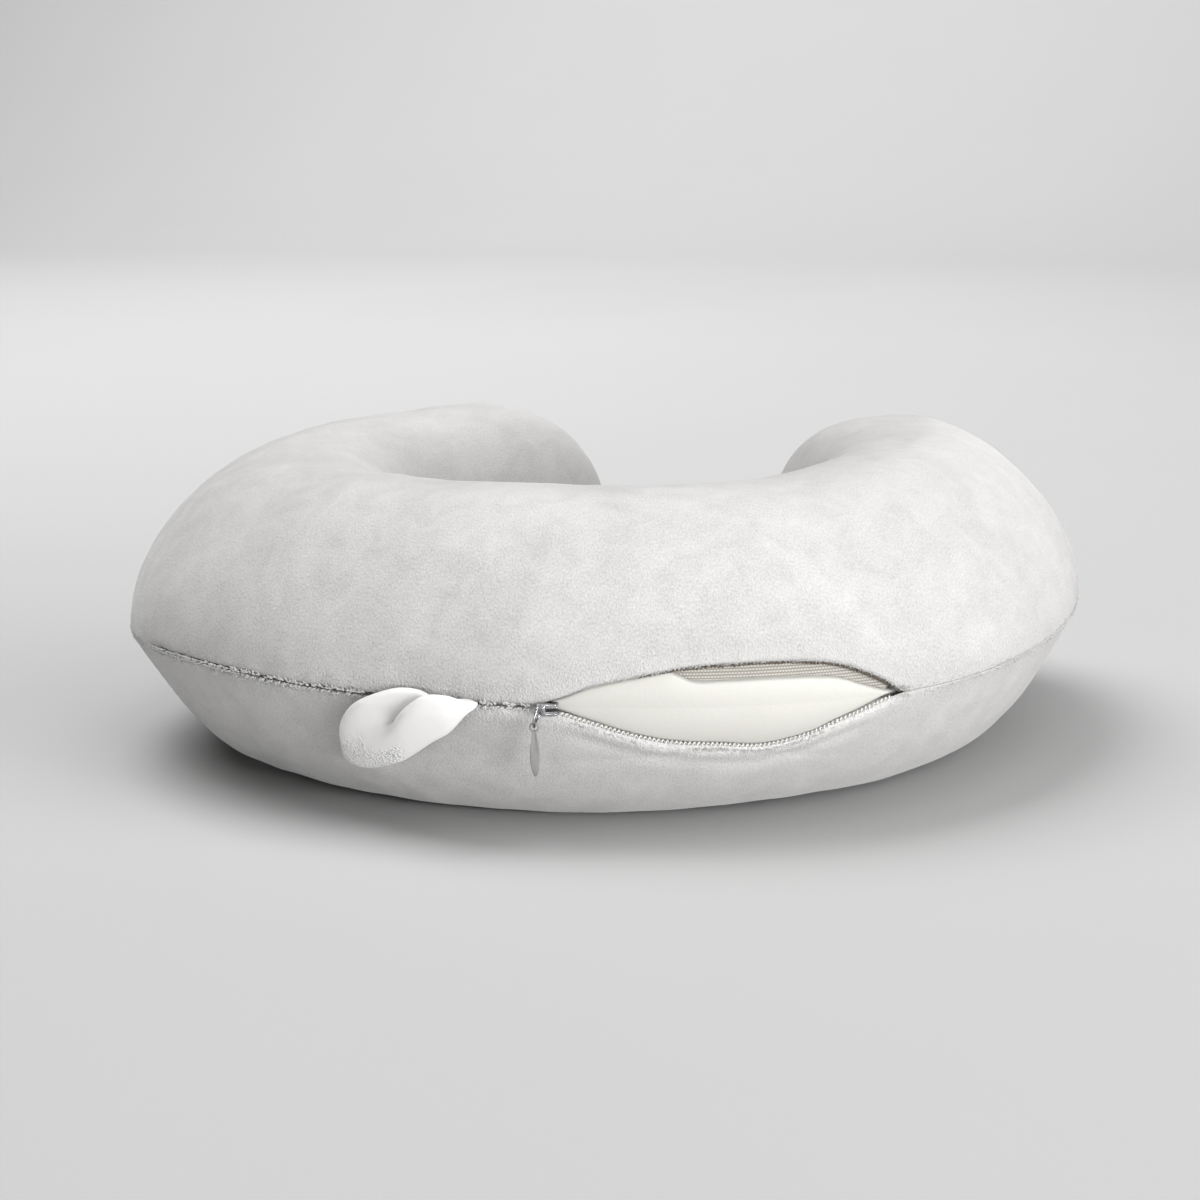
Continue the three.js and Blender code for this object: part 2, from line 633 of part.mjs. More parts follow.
// Leaf shaped pull with a round eye at its top, hanging upright.
function pullGeometry() {
  const tip = PULL_EYE_RADIUS - PULL_LENGTH;
  const belly = tip * PULL_BELLY;
  const neck = PULL_NECK_WIDTH / 2;
  const half = PULL_WIDTH / 2 - PULL_BEVEL;
  const eye = PULL_EYE_RADIUS - PULL_BEVEL;
  const start = -Math.sqrt(eye * eye - neck * neck);
  const neckHold = start * PULL_NECK_HOLD;
  const bellyHold = belly * PULL_BELLY_HOLD;
  const tipSide = half * PULL_TIP_HOLD.across;
  const tipDown = tip * PULL_TIP_HOLD.down;
  const outline = new THREE.Shape();
  outline.moveTo(neck, start);
  outline.absarc(0, 0, eye, Math.atan2(start, neck), Math.atan2(start, -neck) + 2 * Math.PI, false);
  outline.bezierCurveTo(-neck, neckHold, -half, bellyHold, -half, belly);
  outline.quadraticCurveTo(-tipSide, tipDown, 0, tip);
  outline.quadraticCurveTo(tipSide, tipDown, half, belly);
  outline.bezierCurveTo(half, bellyHold, neck, neckHold, neck, start);
  const hole = new THREE.Path();
  hole.absarc(0, 0, PULL_HOLE_RADIUS + PULL_BEVEL, 0, 2 * Math.PI, true);
  outline.holes.push(hole);
  const settings = {
    depth: PULL_THICKNESS - 2 * PULL_BEVEL,
    bevelSize: PULL_BEVEL,
    bevelThickness: PULL_BEVEL,
    bevelSegments: 1,
    curveSegments: PULL_CURVE_STEPS,
  };
  const solid = new THREE.ExtrudeGeometry(outline, settings);
  solid.translate(0, 0, PULL_BEVEL - PULL_THICKNESS / 2);
  const [across, drop, out] = BAIL_PATH[BAIL_LOWEST];
  solid.translate(across, drop - PULL_SLACK, out);
  return solid.applyMatrix4(seamFrame(BAIL_ANGLE, -SLIDER_DROP, SLIDER_DEPTH - SLIDER_SINK));
}

// Point off the cover, a signed length above the outer seam and a lift along the face normal.
function skinPoint(angle, above, lift) {
  const before = sidePoint(angle, 0, above - LOOP_NORMAL_REACH);
  const after = sidePoint(angle, 0, above + LOOP_NORMAL_REACH);
  const run = after.sub(before).normalize();
  const point = sidePoint(angle, 0, above);
  return place(angle, point.add(new THREE.Vector2(run.y, -run.x).multiplyScalar(lift)));
}

// Smooth closed curve through the rows of the loop.
function loopCurve(valuesOf) {
  const points = LOOP.map((row) => new THREE.Vector3(...valuesOf(row)));
  return new THREE.CatmullRomCurve3(points, true, "catmullrom", LOOP_TENSION);
}

function loopGeometry() {
  const innerEdge = loopCurve((row) => row.inner);
  const outerEdge = loopCurve((row) => row.outer);
  const thickness = loopCurve((row) => [row.thick, 0, 0]);
  const rings = [];
  for (let step = 0; step < LOOP_STEPS; step += 1) {
    const share = step / LOOP_STEPS;
    const half = thickness.getPoint(share).x / 2;
    const ring = [];
    for (let side = 0; side < LOOP_SIDES; side += 1) {
      const turn = ((side + 0.5) / LOOP_SIDES) * 2 * Math.PI;
      const across = 0.5 + powerOf(Math.cos(turn), LOOP_ROUNDING) / 2;
      const point = innerEdge.getPoint(share).lerp(outerEdge.getPoint(share), across);
      const lift = point.z + powerOf(Math.sin(turn), LOOP_ROUNDING) * half + LOOP_CLEAR;
      ring.push(skinPoint(LOOP_ROOT_ANGLE - point.x / LOOP_MM_PER_DEGREE, point.y, lift));
    }
    rings.push(ring);
  }
  return loft(rings, { closed: true });
}

const stops = allStops();
const pillow = new THREE.Group();
pillow.name = "travel_pillow";

function addPiece(name, geometry, look) {
  const piece = new THREE.Mesh(geometry, look);
  piece.name = name;
  pillow.add(piece);
}

addPiece("cover_upper", panelSolid(stops, upperRow), VELOUR_UPPER);
addPiece("cover_lower", panelSolid(stops, lowerRow), VELOUR_LOWER);
addPiece("foam_core", loft(stops.map(foamRing)), FOAM);

const upperTape = (angle) => [upperTapeEdge(angle), lipHeight("upper", angle) + TAPE_TUCK];
const lowerTape = (angle) => [-lipHeight("lower", angle) - TAPE_TUCK, lowerTapeEdge(angle)];
const upperCoil = (angle) => upperTapeEdge(angle) + UPPER_COIL_BACK;
const lowerCoil = (angle) => lowerTapeEdge(angle) + COIL_RADIUS + GAP;
addPiece("zip_tape_upper", tapeSolid(upperTape), ZIP_TAPE);
addPiece("zip_tape_lower", tapeSolid(lowerTape), ZIP_TAPE);
addPiece("zip_coil_upper", coilSolid(UPPER_COIL_DEPTH, upperCoil), ZIP_COIL);
addPiece("zip_coil_lower", coilSolid(LOWER_COIL_DEPTH, lowerCoil), ZIP_COIL);
addPiece("zip_slider", sliderGeometry(), CHROME);
addPiece("zip_bail", bailGeometry(), CHROME);
addPiece("zip_pull", pullGeometry(), PULL_ENAMEL);
addPiece("hang_loop", loopGeometry(), BAND);

// Stands the pillow over the origin, measured over its outer box.
const box = new THREE.Box3().setFromObject(pillow);
const middle = box.getCenter(new THREE.Vector3());
for (const piece of pillow.children) piece.geometry.translate(-middle.x, -middle.y, -box.min.z);

export default pillow;
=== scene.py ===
import math
import bmesh
import bpy
import numpy as np
from mathutils import Matrix, Vector


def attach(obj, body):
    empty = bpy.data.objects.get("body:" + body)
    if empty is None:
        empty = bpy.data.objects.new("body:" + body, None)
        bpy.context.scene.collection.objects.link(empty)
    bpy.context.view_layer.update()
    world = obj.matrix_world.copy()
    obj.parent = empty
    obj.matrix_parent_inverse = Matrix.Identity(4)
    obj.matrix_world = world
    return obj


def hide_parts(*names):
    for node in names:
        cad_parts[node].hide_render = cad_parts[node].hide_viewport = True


# Travel pillow: a foam horseshoe in a velour cover of two panels, with its zip part open
# and a hanging loop behind the neck. Shapes are worked out in millimetres and made in metres.

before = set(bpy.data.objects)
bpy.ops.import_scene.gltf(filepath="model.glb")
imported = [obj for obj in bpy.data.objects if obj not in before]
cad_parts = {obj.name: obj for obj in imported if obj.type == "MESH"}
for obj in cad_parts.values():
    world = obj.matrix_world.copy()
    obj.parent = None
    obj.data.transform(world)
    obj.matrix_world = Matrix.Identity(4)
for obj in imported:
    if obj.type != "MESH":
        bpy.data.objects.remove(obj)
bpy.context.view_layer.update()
print("frame loaded")

mm = 0.001

# The photo's own view: a long lens, low and a little to the right of the back of the neck
view = {
    "place": (0.32826, -0.81719, 0.21438),
    "across": (0.930238, 0.366498, -0.018322),
    "up": (-0.052824, 0.183151, 0.981665),
    "lens": 81.39,
}

camera = bpy.data.objects.new("camera", bpy.data.cameras.new("camera"))
across = Vector(view["across"]).normalized()
back = across.cross(Vector(view["up"])).normalized()
axes = Matrix((across, back.cross(across), back)).transposed().to_4x4()
camera.matrix_world = Matrix.Translation(view["place"]) @ axes
camera.data.lens = view["lens"]
camera.data.sensor_width = 36
bpy.context.scene.collection.objects.link(camera)
bpy.context.scene.camera = camera
bpy.context.scene.view_settings.view_transform = "Standard"
print("camera placed")


def linear(code):
    # sRGB hex to linear light: the low part is a straight line, the rest a power of 2.4
    parts = [int(code[k:k + 2], 16) / 255 for k in (1, 3, 5)]
    return (*[c / 12.92 if c <= 0.04045 else ((c + 0.055) / 1.055) ** 2.4 for c in parts], 1.0)


def addNode(material, kind, inputs=None, **settings):
    # adds one node: an input is a plain value or another node's output socket
    node = material.node_tree.nodes.new(kind)
    for key, value in settings.items():
        setattr(node, key, value)
    for key, value in (inputs or {}).items():
        if isinstance(value, bpy.types.NodeSocket):
            material.node_tree.links.new(value, node.inputs[key])
        else:
            node.inputs[key].default_value = value
    return node


def newMaterial(name):
    material = bpy.data.materials.new(name)
    material.use_nodes = True
    material.node_tree.nodes.clear()
    return material


def finishMaterial(material, inputs):
    shader = addNode(material, "ShaderNodeBsdfPrincipled", inputs)
    addNode(material, "ShaderNodeOutputMaterial", {"Surface": shader.outputs[0]})
    return material


def mottledMaterial(name, perMetre, detail, tones, finish, bump=None, roughness=None, pores=None):
    # noise on the piece's own coordinates mixes two tones; the same noise, or cells where pores
    # says how many to the metre, raises the surface by bump (strength, mm); it may vary roughness
    material = newMaterial(name)
    place = addNode(material, "ShaderNodeTexCoord").outputs["Object"]
    noise = addNode(material, "ShaderNodeTexNoise", {"Vector": place, "Scale": perMetre,
                                                     "Detail": detail}).outputs[0]
    tone = addNode(material, "ShaderNodeMix", {0: noise, 6: linear(tones[0]), 7: linear(tones[1])},
                   data_type="RGBA")
    inputs = {"Base Color": tone.outputs[2], **finish}
    if roughness:
        inputs["Roughness"] = addNode(material, "ShaderNodeMapRange", {"Value": noise, 3: roughness[0],
                                                                       4: roughness[1]}).outputs[0]
    if pores:
        noise = addNode(material, "ShaderNodeTexVoronoi", {"Vector": place, "Scale": pores}).outputs[0]
    if bump:
        inputs["Normal"] = addNode(material, "ShaderNodeBump", {"Height": noise, "Strength": bump[0],
                                                                "Distance": bump[1] * mm}).outputs[0]
    return finishMaterial(material, inputs)


def unit(vectors):
    # each vector divided by its own length
    return vectors / np.maximum(np.linalg.norm(vectors, axis=-1, keepdims=True), 1e-9)


def signedPower(value, power):
    # a power that keeps the sign; a small one squares up a sine or cosine
    return np.sign(value) * np.abs(value) ** power


def runAlong(points):
    # distance travelled at each point of a line
    return np.concatenate([[0], np.cumsum(np.linalg.norm(np.diff(points, axis=0), axis=1))])


def throughPoints(p0, p1, p2, p3, t):
    # cubic from p1 to p2 that leaves each along its neighbours' chord
    return 0.5 * (2 * p1 + (p2 - p0) * t + (2 * p0 - 5 * p1 + 4 * p2 - p3) * t ** 2
                  + (3 * p1 - p0 - 3 * p2 + p3) * t ** 3)


def smoothStep(low, high, value):
    share = np.clip((value - low) / (high - low), 0, 1)
    return share * share * (3 - 2 * share)


def waves(points, size, seed, count=20):
    # sum of sine waves in random directions, each about size mm long, scaled to about one
    draw = np.random.default_rng(seed)
    aim = unit(draw.normal(size=(count, points.shape[-1])))
    pace = 2 * np.pi / (size * draw.uniform(0.7, 1.5, count))
    phase = draw.uniform(0, 2 * np.pi, count)
    return np.sin(points @ (aim * pace[:, None]).T + phase).sum(axis=-1) / math.sqrt(count)


def readTable(rows, column, place):
    # one column of a table at many places, on a smooth cubic through the rows
    table = np.asarray(rows, float)
    stops, values = table[:, 0], table[:, column]
    last = len(stops) - 1
    at = np.clip(place, stops[0], stops[last])
    k = np.clip(np.searchsorted(stops, at) - 1, 0, last - 1)
    before, after = np.maximum(k - 1, 0), np.minimum(k + 2, last)
    span = stops[k + 1] - stops[k]
    share = (at - stops[k]) / span
    slopeIn = (values[k + 1] - values[before]) / (stops[k + 1] - stops[before]) * span
    slopeOut = (values[after] - values[k]) / (stops[after] - stops[k]) * span
    square, cube = share ** 2, share ** 3
    return ((2 * cube - 3 * square + 1) * values[k] + (cube - 2 * square + share) * slopeIn
            + (3 * square - 2 * cube) * values[k + 1] + (cube - square) * slopeOut)


def makeMesh(name, points, quads, cloth=None):
    # points (n, 3) in mm, quads (n, 4) of point numbers, cloth (corners, 2) in mm for the UV map
    mesh = bpy.data.meshes.new(name)
    mesh.vertices.add(len(points))
    mesh.vertices.foreach_set("co", (np.asarray(points) * mm).ravel())
    mesh.loops.add(quads.size)
    mesh.loops.foreach_set("vertex_index", quads.ravel())
    mesh.polygons.add(len(quads))
    mesh.polygons.foreach_set("loop_start", np.arange(len(quads)) * 4)
    mesh.polygons.foreach_set("use_smooth", np.ones(len(quads), bool))
    mesh.update(calc_edges=True)
    if cloth is not None:
        layer = mesh.uv_layers.new(name="cloth")
        layer.data.foreach_set("uv", (cloth * mm).ravel())
    return mesh


def tidyMesh(mesh):
    # welds points that lie together, so poles close, and turns all faces outwards
    work = bmesh.new()
    work.from_mesh(mesh)
    bmesh.ops.remove_doubles(work, verts=work.verts, dist=2e-6)
    bmesh.ops.dissolve_degenerate(work, edges=work.edges, dist=1e-7)
    bmesh.ops.recalc_face_normals(work, faces=work.faces)
    work.to_mesh(mesh)
    work.free()
    mesh.update()
    return mesh


def ringQuads(number):
    # faces from each ring of point numbers to the next one, every ring closed on itself
    beside = np.roll(number, -1, axis=-1)
    return np.stack([number[..., :-1, :], beside[..., :-1, :], beside[..., 1:, :], number[..., 1:, :]],
                    axis=-1).reshape(-1, 4)


def gridMesh(name, grid, alongCloth, acrossCloth, closedAlong=False):
    # rings (n, m, 3), each closed on itself; the first ring joins the last only if closedAlong
    n, m = grid.shape[:2]
    number = np.arange(n * m).reshape(n, m)
    if closedAlong:
        number = np.concatenate([number, number[:1]])
    rows, columns = np.meshgrid(np.arange(len(number) - 1), np.arange(m), indexing="ij")
    # cloth coordinates have one more column and row, so that the last face doesn't run back
    wide = np.concatenate([acrossCloth, 2 * acrossCloth[:, -1:] - acrossCloth[:, -2:-1]], axis=1)
    wide = np.concatenate([wide, wide[-1:]], axis=0)
    far = np.concatenate([alongCloth, [2 * alongCloth[-1] - alongCloth[-2]]])
    u = np.stack([far[rows], far[rows], far[rows + 1], far[rows + 1]], axis=-1)
    v = np.stack([wide[rows, columns], wide[rows, columns + 1],
                  wide[rows + 1, columns + 1], wide[rows + 1, columns]], axis=-1)
    cloth = np.stack([u, v], axis=-1).reshape(-1, 2)
    return tidyMesh(makeMesh(name, grid.reshape(-1, 3), ringQuads(number), cloth))


def addPiece(name, mesh, material, slot, *replaced):
    piece = bpy.data.objects.new(name, mesh)
    piece.data.materials.append(material)
    bpy.context.scene.collection.objects.link(piece)
    pillowOnly.objects.link(piece)
    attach(piece, "root")
    if replaced:
        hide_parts(*replaced)
    print(name, len(mesh.polygons), "faces")
    return piece


# A tube carried along an oval spine. Angles are degrees from the back of the neck, positive
# round the +X side; the rest is in mm.
form = {
    "halfWidth": 103.0,
    "neckDepth": 107.4,
    "armDepth": 127.7,
    "neckPower": 2.0,
    "armPower": 1.77,
    "endAngle": 151.3,
    "shiftY": 17.755,
    "capLength": 57.9,
    "capRise": 0.94,
    # angle, reach to the outer seam, reach to the inner seam, crest height
    "tube": [(-152, 52, 50.5, 99.5), (-129, 52, 50.5, 97.5), (-90, 52, 43.5, 96.7), (-50, 55.2, 45, 94.2),
             (0, 45.3, 45.7, 95.6), (50, 55.2, 45, 94.2), (90, 52, 43.5, 96.7), (129, 52, 50.5, 97.5),
             (152, 52, 50.5, 99.5)],
    # angle, seam height
    "seam": [(-152, 42.4), (-100, 40.2), (-65, 39.6), (-35, 42.8), (-5, 40.6), (25, 39.6), (60, 38.9),
             (100, 43.6), (152, 42.6)],
    # lean off upright at the seam, hold, level run, foot reach as a share
    "upperOuter": (-4.4, 0.43, 0.535, 0.0),
    "upperInner": (10.0, 0.77, 0.69, 0.0),
    "lowerOuter": (28.7, 0.094, 0.528, 0.205),
    "lowerInner": (30.0, 0.094, 0.528, 0.45),
}

# Zip opening: angle, upper lip, lower lip and tape showing, in mm over the surface from the seam
opening = [(13.2, 0, 0, -1.2), (14.4, 1.4, 1.3, -1.2), (16.5, 3.2, 3, -1.2), (19.1, 6, 5.6, -1.2),
           (23.7, 8.8, 10.2, -1.2), (26.8, 10.4, 12.5, -1.2), (28.4, 11.2, 13.3, 1.4), (30.2, 11.8, 14, 4.2),
           (33, 12.3, 14.5, 4.7), (38.5, 12.6, 15.8, 4.8), (43.3, 11.8, 12.6, 4.4), (46.1, 10.3, 8.6, 3.9),
           (48.6, 7.7, 5.6, 3.8), (51.1, 4.2, 2.4, 2.6), (53.4, 0, 0, 0)]
openingColumn = {"upper": 1, "lower": 2, "tape": 3}
closedZip = (-42.4, 13.2)    # degrees, from the end of the zip to the slider


def spinePoint(angle):
    # x = half width times sine to a power, y = minus depth times cosine to the same power
    turn = np.radians(angle)
    arm = np.abs(angle) > 90
    power = 2 / np.where(arm, form["armPower"], form["neckPower"])
    depth = np.where(arm, form["armDepth"], form["neckDepth"])
    return np.stack([form["halfWidth"] * signedPower(np.sin(turn), power),
                     -depth * signedPower(np.cos(turn), power)], axis=-1)


sampleAngles = np.linspace(0, form["endAngle"], 6001)
sampleLengths = runAlong(spinePoint(sampleAngles))
bodyHalf = sampleLengths[-1] - form["capLength"]


def angleAt(length):
    return np.sign(length) * np.interp(np.abs(length), sampleLengths, sampleAngles)


def lengthAt(angle):
    return np.sign(angle) * np.interp(np.abs(angle), sampleAngles, sampleLengths)


def lipAt(panel, angle):
    # how far a panel's lip stands from the seam line, nothing outside the opening
    inside = (angle >= opening[0][0]) & (angle <= opening[-1][0])
    return np.where(inside, np.maximum(readTable(opening, openingColumn[panel], angle), 0), 0)


def zippedAt(angle):
    # one along the closed zip, fading to nothing at its ends
    first, last = closedZip
    return smoothStep(first - 1, first + 1, angle) * (1 - smoothStep(last, last + 1.5, angle))


def sectionsAt(length, inset):
    # sizes of the section at each length, drawn in by inset; past the body it shrinks as a circle does
    past = np.clip((np.abs(length) - bodyHalf) / form["capLength"], 0, 1)
    swell = np.sqrt(np.maximum(1 - past ** 2, 0))
    drawn = np.sign(length) * (bodyHalf + (form["capLength"] - inset) * past)
    angle = angleAt(np.where(past > 0, drawn, length))
    seam = readTable(form["seam"], 1, angle)
    crest = seam + (readTable(form["tube"], 3, angle) - inset - seam) * swell ** form["capRise"]
    return {
        "angle": angle,
        "swell": swell,
        "seam": seam,
        "outer": (readTable(form["tube"], 1, angle) - inset) * swell,
        "inner": -(readTable(form["tube"], 2, angle) - inset) * swell,
        "upper": crest,
        "lower": seam - (seam - inset) * swell,
    }


def quarterLine(shape, reach, seam, level):
    # cubic curve from the seam, leaning off upright, to level ground at the crest or the foot
    lean, hold, flat, footShare = shape
    t = np.linspace(0, 1, 140)[None, :]
    reach, seam, level = reach[:, None], seam[:, None], level[:, None]
    foot = reach * footShare
    rise = (level - seam) * hold
    drawn = np.sign(reach) * np.abs(rise) * math.tan(math.radians(lean))
    weights = (1 - t) ** 3, 3 * t * (1 - t) ** 2, 3 * t ** 2 * (1 - t), t ** 3
    outward = (weights[0] * reach + weights[1] * (reach - drawn)
               + weights[2] * (foot + (reach - foot) * flat) + weights[3] * foot)
    upward = weights[0] * seam + weights[1] * (seam + rise) + (weights[2] + weights[3]) * level
    return np.stack([outward, upward], axis=-1)


def panelLines(cut, panel):
    # the whole line of a panel in each section, from the outer seam to the inner seam
    outer = quarterLine(form[panel + "Outer"], cut["outer"], cut["seam"], cut[panel])
    inner = quarterLine(form[panel + "Inner"], cut["inner"], cut["seam"], cut[panel])
    return np.concatenate([outer, inner[:, ::-1]], axis=1)


def lineLengths(lines):
    steps = np.linalg.norm(np.diff(lines, axis=1), axis=2)
    return np.concatenate([np.zeros((len(lines), 1)), np.cumsum(steps, axis=1)], axis=1)


def alongLines(lines, distance):
    # the point a distance along each line; every line gets its own lane, so one interp serves them all
    travelled = lineLengths(lines)
    distance = np.clip(distance, 0, travelled[:, -1:])
    lane = np.arange(len(lines))[:, None] * (travelled.max() + 1)
    found = [np.interp((distance + lane).ravel(), (travelled + lane).ravel(), lines[:, :, k].ravel())
             for k in (0, 1)]
    return np.stack(found, axis=-1).reshape(*distance.shape, 2)


def intoSpace(angle, point):
    # outward and up in a section become X, Y and Z, outward being square to the spine
    centre = spinePoint(angle)
    ahead = unit(spinePoint(angle + 0.5) - spinePoint(angle - 0.5))
    x = centre[..., 0] + ahead[..., 1] * point[..., 0]
    y = centre[..., 1] - ahead[..., 0] * point[..., 0] + form["shiftY"]
    return np.stack(np.broadcast_arrays(x, y, point[..., 1]), axis=-1)


def skinPoint(length, above, inset=0.0):
    # point at a distance over the surface from the outer seam: up the upper panel where it is
    # positive, down the lower one where it is negative
    cut = sectionsAt(length, inset)
    found = [alongLines(panelLines(cut, panel), np.abs(above)[:, None])[:, 0] for panel in ("upper", "lower")]
    return intoSpace(cut["angle"], np.where(above[:, None] >= 0, *found))


def skinAxes(length, above, reach=1.0):
    # directions along the tube, up over the surface and outward, from short steps on the surface
    along = skinPoint(length + reach, above) - skinPoint(length - reach, above)
    upward = skinPoint(length, above + reach) - skinPoint(length, above - reach)
    return unit(along), unit(upward), unit(np.cross(along, upward))


def stationLengths(bodyStops, capStops):
    # even along the body, then even turns round each arm end
    reach = bodyHalf + form["capLength"] * np.cos(np.linspace(0, np.pi / 2, capStops + 1))[:-1]
    return np.concatenate([-reach, np.linspace(-bodyHalf, bodyHalf, bodyStops), reach[::-1]])


print("form worked out, spine", round(2 * sampleLengths[-1]), "mm")


studio = {
    "depth": 2.2,
    "front": 2.5,
    "width": 4.0,
    "curve": 1.2,
    "height": 2.6,
}


def paperSweep():
    # a floor that runs back, bends up through a quarter circle and stands as a wall
    turn = np.linspace(0, np.pi / 2, 24)
    y = np.concatenate([[-studio["front"]], studio["depth"] + studio["curve"] * np.sin(turn),
                        [studio["depth"] + studio["curve"]]])
    z = np.concatenate([[0], studio["curve"] * (1 - np.cos(turn)), [studio["height"]]])
    x = np.array([-studio["width"], studio["width"]])
    grid = np.stack(np.broadcast_arrays(x[None, :], y[:, None], z[:, None]), axis=-1) / mm
    rows = np.arange(len(y) - 1)
    quads = np.stack([2 * rows, 2 * rows + 1, 2 * rows + 3, 2 * rows + 2], axis=-1)
    return makeMesh("paper_sweep", grid.reshape(-1, 3), quads)


# Seamless background paper, matte and evenly dyed; its fibres give only a faint cloudiness
paper = mottledMaterial("matte_background_paper", 3.0, 3.0, ("#a8a8a8", "#ababab"),
                        {"Roughness": 0.9, "Specular IOR Level": 0.2})
sweep = bpy.data.objects.new("paper_sweep", paperSweep())
sweep.data.materials.append(paper)
bpy.context.scene.collection.objects.link(sweep)

# Large soft panels over and beside the set, a low one from the right, and one on the paper behind.
# The three fills are white cards close to the floor that serve the pillow only, and paperRight
# serves the paper only.
# name: place, what it faces, width, height, watts
lamps = {
    "overheadLeft": ((-0.9, 0.3, 1.9), (0.0, 0.0, 0.05), 1.6, 1.6, 50.0),
    "overhead": ((0.0, -0.2, 2.2), (0.0, 0.0, 0.05), 2.4, 2.4, 19.0),
    "overheadRight": ((0.9, 0.1, 1.8), (0.0, 0.0, 0.05), 1.4, 1.4, 9.0),
    "right": ((1.5, -0.2, 0.7), (0.0, 0.0, 0.05), 1.0, 1.0, 4.0),
    "farRight": ((2.2, 0.0, 1.2), (0.0, 0.0, 0.05), 2.0, 2.0, 10.0),
    "paperRight": ((2.2, 0.0, 1.2), (0.0, 0.0, 0.05), 2.0, 2.0, 26.0),
    "lowRight": ((1.4, -0.9, 0.3), (0.0, 0.0, 0.05), 0.8, 0.6, 22.0),
    "backdrop": ((-1.2, 1.4, 2.3), (-1.5, 3.4, 0.9), 2.4, 0.8, 98.0),
    "fillRight": ((0.65, -1.5, 0.08), (0.0, 0.0, 0.03), 1.4, 0.15, 6.5),
    "fillLeft": ((-0.5, -1.5, 0.08), (0.0, 0.0, 0.03), 1.4, 0.15, 5.5),
    "fillFarRight": ((1.3, -0.8, 0.06), (0.08, 0.0, 0.03), 1.0, 0.15, 8.0),
}
pillowOnly = bpy.data.collections.new("lit_by_fills")
paperOnly = bpy.data.collections.new("lit_by_paper_lamp")
paperOnly.objects.link(sweep)
for lampName, (place, aim, width, height, watts) in lamps.items():
    light = bpy.data.lights.new(lampName, "AREA")
    light.shape = "RECTANGLE"
    light.size, light.size_y, light.energy = width, height, watts
    lamp = bpy.data.objects.new(lampName, light)
    lamp.location = place
    lamp.rotation_euler = (Vector(aim) - Vector(place)).to_track_quat("-Z", "Y").to_euler()
    bpy.context.scene.collection.objects.link(lamp)
    for start, served in (("fill", pillowOnly), ("paper", paperOnly)):
        if lampName.startswith(start):
            lamp.light_linking.receiver_collection = served

world = bpy.data.worlds.new("studio")
world.use_nodes = True
world.node_tree.nodes["Background"].inputs["Strength"].default_value = 0.0
bpy.context.scene.world = world
print("floor and lights set")


# Velour: short cut pile on a knitted ground. Brushed patches of pile show lighter or darker,
# and at grazing angles the pile's ends catch the light through the sheen. Beside the open zip the
# raised pile is also painted lighter, a painted highlight for the light its ends catch. Real fibre
# tufts are about 0.3 mm apart, drawn at 0.4; they lie combed away from the seam, so they are longer
# that way.
velour = {
    "deep": "#9a9998",
    "pale": "#b3b2b1",
    "edge": "#cac9c8",       # painted highlight: raised pile beside a seam, painted lighter where its ends catch the light
    "cloudMm": 30.0,
    "brushMm": 8.0,
    "fibreAlongMm": 0.4,
    "fibreDownMm": 0.8,
    "streakAlongMm": 0.8,
    "streakDownMm": 6.0,
    "brushBump": 0.1,
    "brushDeepMm": 1.2,
    "fibreDeepMm": 0.5,
    "fibreBump": 0.35,
    "tousled": 0.6,          # more of it beside the seam
    "brushShare": 0.55,
    "fibreShare": 0.5,
    "toneSpan": (0.34, 0.66),
    # metres over the cloth from the seam, and along the seam from the back of the neck
    "combedTo": (0.001, 0.014),
    "raisedTo": (0.0015, 0.0065),
    "tousledTo": (0.002, 0.011),
    "raisedFrom": (0.010, 0.018),
    "raisedUntil": (0.102, 0.090),
    # how strong the painted highlight on the raised pile is, and its gain
    "raised": 0.6,
    "tipHighlightGain": 1.6,
}


